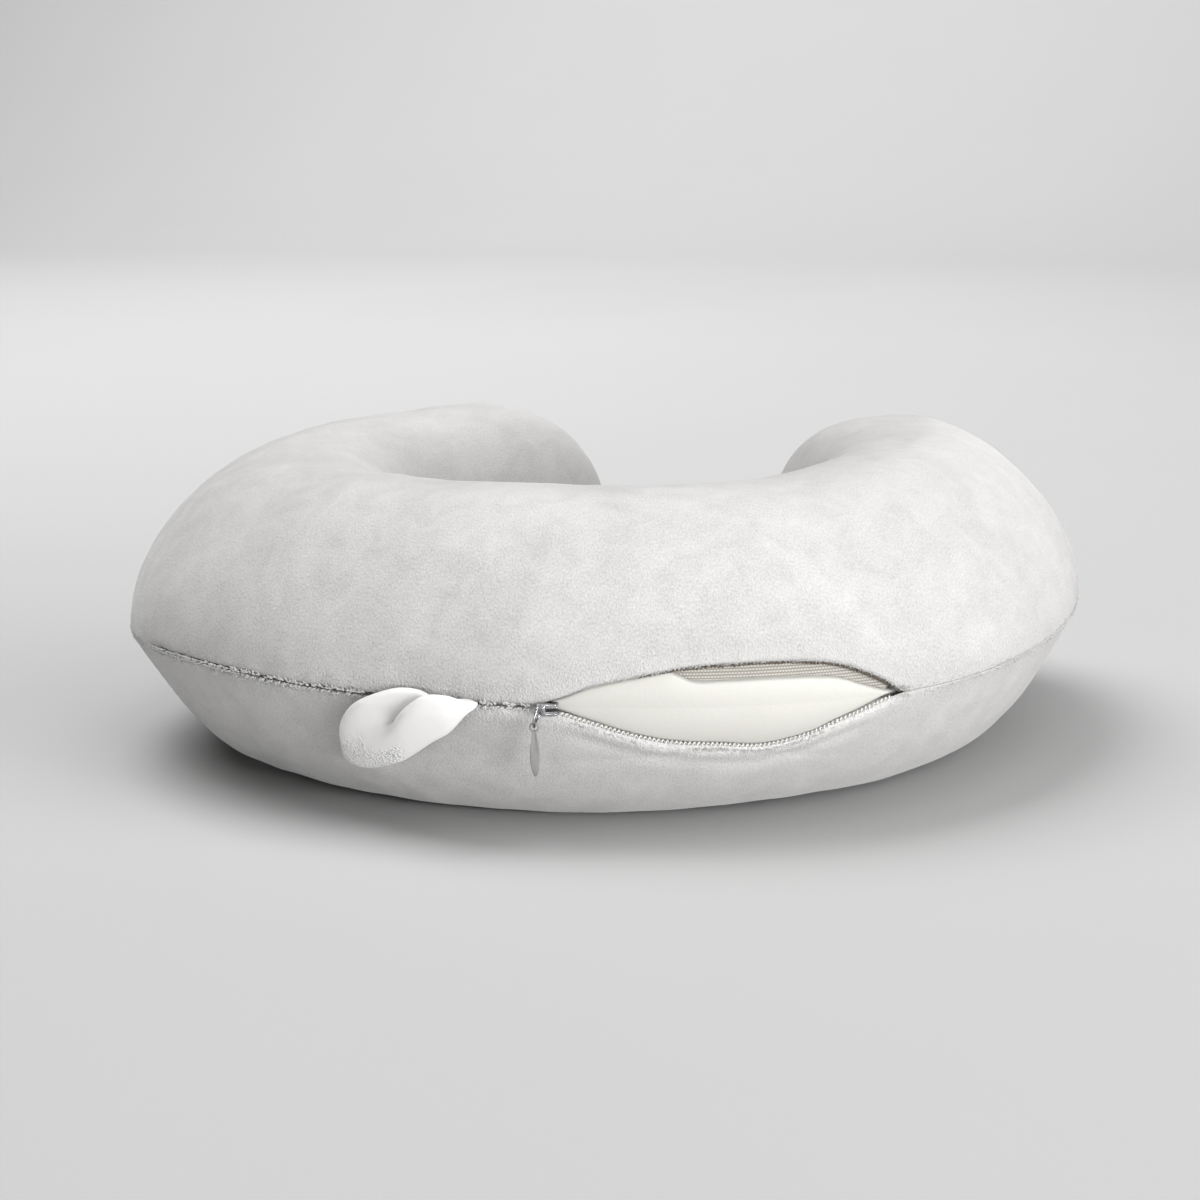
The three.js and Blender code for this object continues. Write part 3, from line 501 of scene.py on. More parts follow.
def velourMaterial(name, streaks):
    # patches: a cloud and a finer brushing in space. Fibres and combed streaks: long thin patches
    # in the cloth's own coordinates, streaks being how strongly the pile is combed at the seam
    material = newMaterial(name)
    place = addNode(material, "ShaderNodeTexCoord")
    patches = [addNode(material, "ShaderNodeTexNoise", {"Vector": place.outputs["Object"],
                                                        "Scale": 1 / (velour[size] * mm), "Detail": 3.0,
                                                        "Roughness": rough, "Distortion": swirl})
               for size, rough, swirl in (("cloudMm", 0.6, 0.5), ("brushMm", 0.5, 0.8))]
    combing = []
    for along, down, detail in (("fibreAlongMm", "fibreDownMm", 1.0), ("streakAlongMm", "streakDownMm", 3.0)):
        comb = addNode(material, "ShaderNodeMapping", {"Vector": place.outputs["UV"],
                                                       "Scale": (1 / (velour[along] * mm),
                                                                 1 / (velour[down] * mm), 1.0)})
        combing.append(addNode(material, "ShaderNodeTexNoise", {"Vector": comb.outputs[0], "Scale": 1.0,
                                                                "Detail": detail, "Distortion": 0.4}))
    fibre, streak = combing
    across = addNode(material, "ShaderNodeSeparateXYZ", {0: place.outputs["UV"]})
    # soft masks: combed, raised and tousled by the seam; raised only along the open zip, which places the
    # painted highlight
    masks = [addNode(material, "ShaderNodeMapRange", {"Value": across.outputs[axis], 1: velour[span][0],
                                                      2: velour[span][1], 3: near, 4: far},
                     interpolation_type="SMOOTHSTEP").outputs[0]
             for axis, span, near, far in (
                 (1, "combedTo", streaks, 0.0),
                 (1, "raisedTo", velour["raised"], 0.0),
                 (1, "tousledTo", velour["fibreBump"] + velour["tousled"], velour["fibreBump"]),
                 (0, "raisedFrom", 0.0, 1.0),
                 (0, "raisedUntil", 0.0, 1.0))]
    combed = addNode(material, "ShaderNodeMix", {0: masks[0], 2: patches[1].outputs[0], 3: streak.outputs[0]})
    soft = addNode(material, "ShaderNodeMix", {0: velour["brushShare"], 2: patches[0].outputs[0],
                                               3: combed.outputs[0]})
    mixed = addNode(material, "ShaderNodeMix", {0: velour["fibreShare"], 2: soft.outputs[0],
                                                3: fibre.outputs[0]})
    spread = addNode(material, "ShaderNodeMapRange", {"Value": mixed.outputs[0], 1: velour["toneSpan"][0],
                                                      2: velour["toneSpan"][1]})
    cloth = addNode(material, "ShaderNodeMix", {0: spread.outputs[0], 6: linear(velour["deep"]),
                                                7: linear(velour["pale"])}, data_type="RGBA")
    # painted highlight: the raised pile beside the open zip is mixed towards the lighter edge colour, for
    # light caught by its ends
    tipHighlight = streak.outputs[0]
    for factor in (masks[3], masks[4], masks[1], velour["tipHighlightGain"] * streaks):
        tipHighlight = addNode(material, "ShaderNodeMath", {0: tipHighlight, 1: factor}, operation="MULTIPLY",
                       use_clamp=True).outputs[0]
    tone = addNode(material, "ShaderNodeMix", {0: tipHighlight, 6: cloth.outputs[2], 7: linear(velour["edge"])},
                   data_type="RGBA")
    nap = addNode(material, "ShaderNodeBump", {"Height": combed.outputs[0], "Strength": velour["brushBump"],
                                               "Distance": velour["brushDeepMm"] * mm})
    pile = addNode(material, "ShaderNodeBump", {"Height": fibre.outputs[0], "Strength": masks[2],
                                                "Distance": velour["fibreDeepMm"] * mm,
                                                "Normal": nap.outputs[0]})
    return finishMaterial(material, {"Base Color": tone.outputs[2], "Roughness": 0.92,
                                     "Specular IOR Level": 0.15, "Sheen Weight": 0.22,
                                     "Sheen Roughness": 0.45, "Sheen Tint": linear("#ffffff"),
                                     "Normal": pile.outputs[0]})


upperVelour = velourMaterial("brushed_velour_upper", 0.25)
lowerVelour = velourMaterial("brushed_velour_lower", 1.0)

# The same dyed polyester fibre where it stands out of the cloth: matte, each tuft a little different
pileFibre = mottledMaterial("loose_velour_pile", 500.0, 1.0, ("#9b9a99", "#c1c0bf"),
                            {"Roughness": 0.9, "Specular IOR Level": 0.15, "Sheen Weight": 0.15})

coverPanel = {
    "thick": 2.0,
    "gap": 0.3,                  # between the panels where the zip holds them
    "sewnGap": 0.06,             # and where they are sewn
    "zipEasesBy": 0.15,
    "bodyStops": 430,
    "capStops": 26,
    "acrossStops": 110,
    "backStops": 22,
    "foldStops": 4,
    "closedRoll": (1.6, 0.35),   # width and depth of the rounded edge at a sewn seam
    "zipRoll": (2.0, 1.5),       # the same along the closed zip
    "openRoll": (1.2, 1.4),      # the same at a lip of the opening
    "settle": 0.45,              # slow unevenness of the filled cover
    "settleMm": 55.0,
    "ripple": 0.12,
    "rippleMm": 16.0,
    "pucker": 0.3,               # small gathers along the closed zip
    "puckerMm": 5.0,
    "puckerFade": 4.0,
    "lipFold": (2.6, 1.7, 0.25),     # under the lower lip: mm from it, half width, height
    "lipValley": (6.8, 2.4, 0.6),
    "lipOpens": (1.5, 6.0),          # the fold grows as the lip drops through these mm
    "evenShare": 0.3,                # of the stops across; the rest crowd towards the edges
    "backShy": 0.6,
}

# Faint creases in the cover: panel, angle, mm over the surface from the seam, direction in
# degrees (0 along the seam, 90 up), length, width, height
creases = [("upper", -38, 74, 25, 26, 1.6, 0.35), ("upper", -35, 69, 22, 20, 1.3, -0.3),
           ("upper", -31, 76, 18, 24, 1.5, 0.3), ("upper", 4, 52, 35, 30, 4.0, 0.3),
           ("lower", 26, 19, -10, 34, 1.6, -0.5), ("lower", 40, 20, 12, 30, 1.8, -0.4)]


def panelRelief(panel, length, angle, along, points, lip):
    # height off the smooth form: slow unevenness, gathers that fade from the seam, and creases
    seed = 3 if panel == "upper" else 4
    settle = coverPanel["settle"] * waves(points, coverPanel["settleMm"], seed)
    ripple = coverPanel["ripple"] * waves(points, coverPanel["rippleMm"], seed + 10)
    zipped = zippedAt(angle)[:, None]
    gather = waves(np.stack(np.broadcast_arrays(length[:, None], 0.6 * along), axis=-1),
                   coverPanel["puckerMm"], seed + 20)
    fade = np.exp(-along / coverPanel["puckerFade"]) * (0.3 + 0.7 * zipped)
    height = settle + ripple + coverPanel["pucker"] * gather * fade
    if panel == "lower":
        # the strip sewn to the tape stands up in a soft fold, with a valley under it
        fold, valley = (high * np.exp(-((along - at) / wide) ** 2)
                        for at, wide, high in (coverPanel["lipFold"], coverPanel["lipValley"]))
        height = height + (fold - valley) * smoothStep(*coverPanel["lipOpens"], lip)
    for which, creaseAngle, above, aim, long, wide, high in creases:
        if which == panel:
            dx = length[:, None] - lengthAt(creaseAngle)
            dy = along + lip - above
            turn = math.radians(aim)
            run = dx * math.cos(turn) + dy * math.sin(turn)
            off = dy * math.cos(turn) - dx * math.sin(turn) + 0.004 * run ** 2
            height = height + high * np.exp(-(2 * run / long) ** 2 - (off / wide) ** 2)
    return height


def panelSurface(panel):
    # closed ring in each section: outer face, rounded inner edge, back face, rounded outer edge
    length = stationLengths(coverPanel["bodyStops"], coverPanel["capStops"])
    cut = sectionsAt(length, 0.0)
    lines = panelLines(cut, panel)
    lip = lipAt(panel, cut["angle"])[:, None]
    zipped = zippedAt(cut["angle"])[:, None]
    apart = coverPanel["sewnGap"] + (coverPanel["gap"] - coverPanel["sewnGap"]) * zipped
    start = apart / 2 + lip + coverPanel["zipEasesBy"] * zipped
    end = lineLengths(lines)[:, -1:] - coverPanel["sewnGap"] / 2
    share = np.linspace(0, 1, coverPanel["acrossStops"])
    even = coverPanel["evenShare"]
    share = even * share + (1 - even) * (0.5 - 0.5 * np.cos(np.pi * share))
    distance = start + (end - start) * share
    base = intoSpace(cut["angle"][:, None], alongLines(lines, distance))
    normal = unit(np.cross(np.gradient(base, axis=0), np.gradient(base, axis=1)))
    middle = len(length) // 2
    normal = normal * np.sign(normal[middle, coverPanel["acrossStops"] // 2, 2])
    normal = normal if panel == "upper" else -normal
    normal[[0, -1]] = 0
    opened = smoothStep(0.5, 3.0, lip)
    # height off the form, eased down into the rounded edges
    fromOuter, fromInner = distance - start, end - distance
    size = np.minimum(1, 3 * cut["swell"])[:, None]
    height = size * panelRelief(panel, length, cut["angle"], np.maximum(fromOuter, 0), base, lip)
    edges = []
    for gone, held, free in ((fromOuter, zipped * (1 - opened), opened), (fromInner, 0 * zipped, 0 * opened)):
        wide, deep = ((1 - held - free) * coverPanel["closedRoll"][k] + held * coverPanel["zipRoll"][k]
                      + free * coverPanel["openRoll"][k] for k in (0, 1))
        deep = deep * size
        inward = 1 - np.clip(gone / wide, 0, 1)
        height = height * (1 - 0.8 * inward) - deep * (1 - np.sqrt(1 - inward ** 2))
        edges.append((wide, deep))
    face = base + normal * height[..., None]
    folds = []
    for row, inner, (wide, deep) in ((0, 1, edges[0]), (-1, -2, edges[1])):
        turn = np.pi + np.linspace(0, np.pi / 2, coverPanel["foldStops"] + 1)[None, 1:, None]
        inwards = unit(base[:, inner] - base[:, row])[:, None]
        top = base[:, row][:, None]
        folds.append(top + inwards * wide[..., None] * (1 + np.cos(turn)) * size[..., None]
                     - normal[:, row][:, None] * deep[..., None] * (1 - np.sin(turn)))
    backCut = sectionsAt(length, coverPanel["thick"])
    backLines = panelLines(backCut, panel)
    backEnd = lineLengths(backLines)[:, -1:]
    backShare = np.linspace(0, 1, coverPanel["backStops"])[::-1]
    backStart = np.minimum(lip + edges[0][0] + coverPanel["backShy"], 0.3 * backEnd)
    backStop = np.maximum(backEnd - edges[1][0] - coverPanel["backShy"], 0.7 * backEnd)
    behind = backStart + (backStop - backStart) * backShare
    rear = intoSpace(backCut["angle"][:, None], alongLines(backLines, behind))
    face[..., 2] = np.maximum(face[..., 2], 0)    # pressed flat where the pillow stands
    rings = np.concatenate([face, folds[1], rear, folds[0][:, ::-1]], axis=1)
    cloth = np.concatenate([fromOuter, np.repeat(fromOuter[:, -1:], folds[1].shape[1], axis=1), behind,
                            np.zeros((len(length), folds[0].shape[1]))], axis=1)
    return gridMesh("panel_" + panel, rings, length, cloth)


upperPanel = addPiece("cover_upper_cloth", panelSurface("upper"), upperVelour, "velour_upper", "cover_upper")
lowerPanel = addPiece("cover_lower_cloth", panelSurface("lower"), lowerVelour, "velour_lower", "cover_lower")


lowerTapeShows = -0.05   # mm of the lower tape above its lip, less than nothing as it stays tucked


def zipLine(edge):
    # signed distance of a tape edge from the seam line at each angle
    def upper(angle):
        return lipAt("upper", angle) - readTable(opening, openingColumn["tape"], angle)

    def lower(angle):
        return -lipAt("lower", angle) + lowerTapeShows

    return upper if edge == "upper" else lower


# Polyurethane foam: moulded with a smooth skin, cream white; light sinks in a little, and fine
# closed pores of about 0.4 mm, drawn at 0.8, break up the shine.
foamLook = mottledMaterial("moulded_polyurethane_foam", 40.0, 2.0, ("#b1b0aa", "#b8b7b2"),
                           {"Roughness": 0.62, "Specular IOR Level": 0.35, "Subsurface Weight": 0.12,
                            "Subsurface Radius": (0.004, 0.003, 0.002), "Subsurface Scale": 1.0},
                           bump=(0.12, 0.3), pores=1250.0)

foamCore = {
    "inset": 2.5,            # cover and the air under it
    "press": {"upper": 2.95, "lower": 1.65},    # pressed in further under each tape
    "pressFrom": 10.0,
    "pressTo": 55.0,
    "pressFade": 5.0,
    "swell": 1.4,            # stands out past the cover's inner face where the opening lets it
    "wall": {"upper": (-1.0, 0.5), "lower": (-1.3, 0.1)},    # from pressed to swollen, mm from a tape
    "shyOfLip": 0.2,         # leaves a thin dark line under the upper lip where the tape is tucked in
    "coilEdge": 1.4,         # the lower coil lies between its tape and the foam
    "crown": 1.2,
    "ridgeRadius": 40.0,     # rounds off the ridge at the seam line
    "ridgeHalf": 12.0,
    "pressUnder": (30, 42),  # mm from the seam over which the pressing fades out
    "fineFrom": 11.0,        # stops close together along the opening, in degrees
    "fineTo": 55.5,
    "fineStep": 0.5,
    "coarseStep": 3.0,
    "fineMm": 17.0,          # fine steps as far as the opening reaches
    "fineStops": 44,
    "coarseStops": 36,
    "capStops": 16,
}


def foamLengths():
    # fine stops along the opening, coarse ones elsewhere, even turns round the arm ends
    caps, step = foamCore["capStops"], foamCore["coarseStep"]
    first, last = lengthAt(np.array([foamCore["fineFrom"], foamCore["fineTo"]]))
    ends = stationLengths(2, caps)
    return np.concatenate([ends[:caps], np.arange(ends[caps], first, step),
                           np.arange(first, last, foamCore["fineStep"]),
                           np.arange(last, ends[-caps - 1], step), ends[-caps - 1:]])


def foamSurface():
    # closed ring in each section, up over the crest and back under the foot. Every point lies on
    # the form drawn in by its own inset: more where a tape presses, less between the tapes
    length = foamLengths()
    angle = angleAt(length)[:, None]
    fade = foamCore["pressFade"]
    zipPart = (smoothStep(foamCore["pressFrom"] - fade, foamCore["pressFrom"], angle)
               * (1 - smoothStep(foamCore["pressTo"], foamCore["pressTo"] + fade, angle)))
    top = np.minimum(zipLine("upper")(angle), lipAt("upper", angle) - foamCore["shyOfLip"])
    bottom = zipLine("lower")(angle) + foamCore["coilEdge"]
    halves = []
    for panel, sign in (("upper", 1), ("lower", -1)):
        rings = []
        deep = foamCore["press"][panel]
        for inset in (foamCore["inset"], foamCore["inset"] + deep):
            cut = sectionsAt(length, inset)
            lines = panelLines(cut, panel)
            total = lineLengths(lines)[:, -1:]
            fineEnd = np.minimum(foamCore["fineMm"], 0.4 * total)
            fine = np.linspace(0, 1, foamCore["fineStops"])[None, :] * fineEnd
            rest = fineEnd + (total - fineEnd) * np.linspace(0, 1, foamCore["coarseStops"])[None, 1:]
            distance = np.concatenate([fine, rest], axis=1)
            rings.append(intoSpace(cut["angle"][:, None], alongLines(lines, distance)))
        above = sign * distance
        shown = (smoothStep(*foamCore["wall"]["upper"], top - above)
                 * smoothStep(*foamCore["wall"]["lower"], above - bottom))
        pressed = zipPart * (1 - smoothStep(*foamCore["pressUnder"], distance))
        crown = foamCore["crown"] * np.sqrt(np.clip(4 * (top - above) * (above - bottom)
                                                    / np.maximum(top - bottom, 1) ** 2, 0, 1))
        ridge = np.maximum(foamCore["ridgeHalf"] - distance, 0) ** 2 / (2 * foamCore["ridgeRadius"])
        drawn = pressed * (deep * (1 - shown) + (ridge - crown - foamCore["swell"]) * shown)
        halves.append((rings[0] + (rings[1] - rings[0]) * (drawn / deep)[..., None], distance))
    grid = np.concatenate([halves[0][0], halves[1][0][:, -2:0:-1]], axis=1)
    side = np.concatenate([halves[0][1], halves[1][1][:, -2:0:-1]], axis=1)
    return gridMesh("foam", grid, length, side)


foam = addPiece("foam_horseshoe", foamSurface(), foamLook, "foam", "foam_core")


# Knitted polyester tape: rows of small stitches about 0.5 mm apart, drawn at 0.9 so that they
# show; each row is shifted by half a stitch
stitch = 0.9 * mm
tapeLook = newMaterial("knitted_polyester_tape")
cloth = addNode(tapeLook, "ShaderNodeSeparateXYZ", {0: addNode(tapeLook, "ShaderNodeTexCoord").outputs["UV"]})
row = addNode(tapeLook, "ShaderNodeMath", {0: cloth.outputs[1], 1: 1 / stitch}, operation="MULTIPLY")
rowNumber = addNode(tapeLook, "ShaderNodeMath", {0: row.outputs[0]}, operation="FLOOR")
rowPart = addNode(tapeLook, "ShaderNodeMath", {0: row.outputs[0]}, operation="FRACT")
halfTurn = addNode(tapeLook, "ShaderNodeMath", {0: rowPart.outputs[0], 1: math.pi}, operation="MULTIPLY")
ridge = addNode(tapeLook, "ShaderNodeMath", {0: halfTurn.outputs[0]}, operation="SINE")
shift = addNode(tapeLook, "ShaderNodeMath", {0: rowNumber.outputs[0], 1: math.pi}, operation="MULTIPLY")
beat = addNode(tapeLook, "ShaderNodeMath", {0: cloth.outputs[0], 1: 2 * math.pi / stitch,
                                            2: shift.outputs[0]}, operation="MULTIPLY_ADD")
loopOfRow = addNode(tapeLook, "ShaderNodeMath", {0: beat.outputs[0]}, operation="SINE")
level = addNode(tapeLook, "ShaderNodeMath", {0: loopOfRow.outputs[0], 1: 0.3, 2: ridge.outputs[0]},
                operation="MULTIPLY_ADD")
shade = addNode(tapeLook, "ShaderNodeMapRange", {"Value": level.outputs[0], 1: 0.2, 2: 1.2})
tone = addNode(tapeLook, "ShaderNodeMix", {0: shade.outputs[0], 6: linear("#807c75"), 7: linear("#b2afa8")},
               data_type="RGBA")
knit = addNode(tapeLook, "ShaderNodeBump", {"Height": shade.outputs[0], "Strength": 0.6,
                                            "Distance": 0.4 * mm})
finishMaterial(tapeLook, {"Base Color": tone.outputs[2], "Roughness": 0.8, "Specular IOR Level": 0.25,
                          "Sheen Weight": 0.15, "Normal": knit.outputs[0]})

zipTape = {
    "inset": 2.55,
    "thick": 0.8,
    "tuck": 2.5,            # how far it runs on under its lip
    "from": 15.4,
    "to": 52.6,
    "stops": 150,
    "acrossStops": 12,
    "wave": 0.18,           # the free tape isn't quite flat between its stitches
    "waveMm": 2.1,
    "clothStretch": 1.45,   # its stitches are narrower than they are tall
}


def tapeSurface(side):
    # flat oval ring from the showing edge to the tucked edge, closed to a point at both ends
    angle = np.linspace(zipTape["from"], zipTape["to"], zipTape["stops"])
    shown = zipLine(side)(angle)
    hidden = (lipAt(side, angle) + zipTape["tuck"]) * (1 if side == "upper" else -1)
    turn = np.linspace(0, 2 * np.pi, 2 * zipTape["acrossStops"], endpoint=False)
    acrossShare = 0.5 - 0.5 * signedPower(np.cos(turn), 0.6)
    depthShare = 0.5 + 0.5 * signedPower(np.sin(turn), 0.5)
    ends = smoothStep(0, 0.03, np.linspace(0, 1, zipTape["stops"]))
    ends = ends * ends[::-1]
    above = shown[:, None] + (hidden - shown)[:, None] * (0.5 + (acrossShare - 0.5) * ends[:, None])
    inset = zipTape["inset"] + zipTape["thick"] * (0.5 + (depthShare - 0.5) * ends[:, None])
    length = np.repeat(lengthAt(angle), len(turn))
    points = skinPoint(length, above.ravel(), inset.ravel()).reshape(len(angle), len(turn), 3)
    wave = zipTape["wave"] * np.sin(lengthAt(angle) / zipTape["waveMm"]) * ends
    outward = skinAxes(lengthAt(angle), (shown + hidden) / 2)[2]
    points = points + (outward * wave[:, None])[:, None]
    return gridMesh("tape_" + side, points, lengthAt(angle) * zipTape["clothStretch"], above)


upperTape = addPiece("zip_tape_upper_knit", tapeSurface("upper"), tapeLook, "zip_tape", "zip_tape_upper")
lowerTape = addPiece("zip_tape_lower_knit", tapeSurface("lower"), tapeLook, "zip_tape", "zip_tape_lower")

# Nylon monofilament, drawn and wound into a coil: slightly clear, satin, a little darker at the core
coilLook = mottledMaterial("drawn_nylon_coil", 900.0, 2.0, ("#b5b3ae", "#d6d4d0"),
                           {"Roughness": 0.38, "IOR": 1.53}, bump=(0.1, 0.1))

zipCoil = {
    "radius": 0.6,
    "wire": 0.24,            # radius; it and the pitch are coarser than real, so that the turns show
    "pitch": 1.3,
    "gap": 0.15,
    "lowerInset": 0.45,      # stands a little out of the lower lip
    "upperInset": 4.8,       # the upper tape has rolled over, so its coil lies behind the edge
    "upperBack": 0.8,
    "endsIn": (0.6, 0.8),    # degrees short of the tape's two ends
    "stepsPerTurn": 12,
    "sides": 6,
}


def tubeSurface(name, path, radius, sides):
    # a round section carried along a path, square to it, drawn to a point at both ends
    tangent = unit(np.gradient(path, axis=0))
    reference = np.where(np.abs(tangent[:, 2:3]) < 0.9, [[0.0, 0.0, 1.0]], [[1.0, 0.0, 0.0]])
    sideways = unit(np.cross(tangent, reference))
    upwards = np.cross(sideways, tangent)
    turn = np.linspace(0, 2 * np.pi, sides, endpoint=False)
    thick = np.broadcast_to(radius, len(path)).astype(float)
    thick[[0, -1]] = 0
    ring = sideways[:, None] * np.cos(turn)[None, :, None] + upwards[:, None] * np.sin(turn)[None, :, None]
    grid = path[:, None] + ring * thick[:, None, None]
    return gridMesh(name, grid, runAlong(path), np.broadcast_to(turn * np.max(radius), grid.shape[:2]))


def coilSurface(side):
    # helix round a line by the tape edge: centre plus radius times cosine and sine
    first, last = zipCoil["endsIn"]
    ends = lengthAt(np.array([zipTape["from"] + first, zipTape["to"] - last]))
    rough = np.linspace(*ends, 600)
    offset = zipCoil["upperBack"] if side == "upper" else zipCoil["radius"] + zipCoil["gap"]
    inset = np.full(len(rough), zipCoil[side + "Inset"])
    centre = skinPoint(rough, zipLine(side)(angleAt(rough)) + offset, inset)
    run = runAlong(centre)
    steps = int(run[-1] / zipCoil["pitch"] * zipCoil["stepsPerTurn"])
    at = np.linspace(0, run[-1], steps)
    line = np.stack([np.interp(at, run, centre[:, k]) for k in range(3)], axis=-1)
    tangent = unit(np.gradient(line, axis=0))
    length = np.interp(at, run, rough)
    outward = skinAxes(length, zipLine(side)(angleAt(length)))[2]
    sideways = unit(np.cross(tangent, outward))
    turn = 2 * np.pi * at / zipCoil["pitch"]
    reach = zipCoil["radius"] - zipCoil["wire"]
    path = line + reach * (sideways * np.cos(turn)[:, None] + outward * np.sin(turn)[:, None])
    return tubeSurface("coil_" + side, path, zipCoil["wire"], zipCoil["sides"])


upperCoil = addPiece("zip_coil_upper_nylon", coilSurface("upper"), coilLook, "zip_coil", "zip_coil_upper")
lowerCoil = addPiece("zip_coil_lower_nylon", coilSurface("lower"), coilLook, "zip_coil", "zip_coil_lower")


# The knitted ground of the velour, brown and matte, with painted shade in it. It shows in uneven
# stitches of about 0.7 mm at the upper panel's cut edge, darkened there as painted shade of the gap
# under the lip; along the closed zip the cord between the tufts is painted shade in the seam's groove
groundAndPaintedShade = mottledMaterial("velour_ground_and_painted_shade", 1100.0, 1.0, ("#37322c", "#6e675f"),
                            {"Roughness": 0.95, "Specular IOR Level": 0.1})

cutEdge = {
    "steps": 620,
    "inset": 1.0,
    "radius": 0.42,
    "stitchMm": 0.7,
    "swell": 0.35,
    "swing": 0.14,
    "thinEnd": 0.35,
    "sides": 8,
    "alongLip": (24.5, 53.0),        # degrees
    "belowLip": 0.3,
    "alongSeam": (12.4, -42.8),
}


def cutEdgeSurface(name, span, drop):
    # a cord along the upper panel's edge that swells and swings with each stitch
    length = np.linspace(*lengthAt(np.array(span)), cutEdge["steps"])
    jag = waves(length[:, None], cutEdge["stitchMm"], 31, 8)
    swing = waves(length[:, None], cutEdge["stitchMm"], 32, 8)
    above = lipAt("upper", angleAt(length)) - drop + cutEdge["swing"] * swing
    path = skinPoint(length, above, np.full(len(length), cutEdge["inset"]))
    fade = smoothStep(0, 0.25, np.linspace(0, 1, len(length)))
    grown = cutEdge["thinEnd"] + (1 - cutEdge["thinEnd"]) * fade
    return tubeSurface(name, path, cutEdge["radius"] * grown * (1 + cutEdge["swell"] * jag), cutEdge["sides"])


# the cut edge, its dark brown partly painted shade of the gap under the lip
addPiece("cover_upper_cut_edge", cutEdgeSurface("cut_edge", cutEdge["alongLip"], cutEdge["belowLip"]),
         groundAndPaintedShade, "velour_upper")
# painted shade: a dark cord laid in the closed seam's groove, where there is only shade
addPiece("cover_seam_painted_shade", cutEdgeSurface("seam_painted_shade", cutEdge["alongSeam"], 0.0), groundAndPaintedShade,
         "velour_upper")


# Zinc alloy, die cast and chrome plated: bright, with soft casting waves under the plating
chrome = mottledMaterial("chrome_plated_zinc", 900.0, 3.0, ("#5e5e61", "#c2c2c5"), {"Metallic": 1.0},
                         bump=(0.15, 0.2), roughness=(0.16, 0.34))

# Zinc alloy pull, tumbled and lacquered pale grey: satin, a little darker where it is handled
lacquer = mottledMaterial("lacquered_zinc_pull", 350.0, 4.0, ("#757472", "#8c8b89"),
                          {"Metallic": 0.35, "Roughness": 0.36}, bump=(0.1, 0.2))

slider = {
    "angle": 14.75,
    "length": 6.2,
    "height": 3.6,
    "plate": 1.0,
    "depth": 5.0,
    "sink": 2.9,
    "drop": 0.2,
    "noseShare": 0.38,
    "flange": (1.6, 0.7, 0.8),   # shorter than the plate by, height, depth
    "bridge": (1.0, 3.3, 0.9),
}

bail = {
    "angle": 14.1,
    "radius": 0.36,
    # along the seam, up, out from the slider's face
    "path": [(0, 1.3, 0.45), (-0.1, 1.3, 1.2), (-0.6, 0.7, 2.3), (-1.1, -1.2, 3), (-1.5, -3.4, 2.9),
             (-1.5, -4.4, 1.8), (-1.4, -3.5, 0.8), (-0.5, -1.9, 1.2), (0, -1.3, 0.9), (0, -1.3, 0.45)],
    "lowest": 5,
    "steps": 110,
    "sides": 12,
}

pull = {
    "length": 15.8,
    "width": 2.8,
    "thick": 0.9,
    "eye": 1.5,
    "hole": 0.95,
    "neck": 1.2,
    "slack": 0.05,
    "widest": 0.62,              # share of the way to the tip
    "neckHold": 2.4,             # how far the neck runs straight, and the widest part
    "wideHold": 0.55,
    "tipRound": (0.85, 0.97),
    "rimMm": 40.0,
    "rimStops": 150,
    "roundStops": 22,
}


def ontoSeam(points, angle, out):
    # points (right along the seam, up, out) onto the seam at an angle
    length = lengthAt(np.array([angle]))
    origin = skinPoint(length, np.zeros(1))[0]
    ahead = unit(spinePoint(np.array([angle + 0.5])) - spinePoint(np.array([angle - 0.5])))[0]
    outward = np.array([ahead[1], -ahead[0], 0.0])
    right = np.cross([0.0, 0.0, 1.0], outward)
    basis = np.stack([right, [0.0, 0.0, 1.0], outward])
    return origin + (points + np.array([0, -slider["drop"], out])) @ basis


def roundedBlock(centre, size, corner, stops=26):
    # a ball stretched to the size, its sines and cosines taken to a small power so that it squares up
    around = np.linspace(0, 2 * np.pi, 2 * stops, endpoint=False)[None, :]
    rise = np.linspace(-np.pi / 2, np.pi / 2, stops)[:, None]
    flat = signedPower(np.cos(rise), corner)
    block = np.stack(np.broadcast_arrays(flat * signedPower(np.cos(around), corner),
                                         flat * signedPower(np.sin(around), corner),
                                         signedPower(np.sin(rise), corner)), axis=-1)
    return np.asarray(centre) + block * np.asarray(size) / 2


def joinGrids(name, grids, angle, out):
    # several closed rings in one mesh, each put onto the seam
    parts, quads, count = [], [], 0
    for grid in grids:
        number = count + np.arange(grid[..., 0].size).reshape(grid.shape[:2])
        quads.append(ringQuads(number))
        parts.append(ontoSeam(grid.reshape(-1, 3), angle, out))
        count += number.size
    return tidyMesh(makeMesh(name, np.concatenate(parts), np.concatenate(quads)))


def sliderSurface():
    # two plates, the post that joins them, flanges turned towards each other and the bridge for the bail
    half, plate, long, deep = slider["height"] / 2, slider["plate"], slider["length"], slider["depth"]
    nose = long * slider["noseShare"]
    shorter, flangeHigh, flangeDeep = slider["flange"]
    grids = []
    for side in (-1, 1):
        level = side * (half - plate / 2)
        grids.append(roundedBlock((0, level, deep / 2), (long, plate, deep), 0.28))
        grids.append(roundedBlock((0.9, side * (half - plate), deep - 0.45),
                                  (long - shorter, flangeHigh, flangeDeep), 0.4))
    grids.append(roundedBlock((nose / 2 - long / 2, 0, deep / 2), (nose, 2 * half - plate, deep - 0.6), 0.4))
    grids.append(roundedBlock((-0.7, 0, deep + 0.25), slider["bridge"], 0.6))
    return joinGrids("slider", grids, slider["angle"], -slider["sink"])


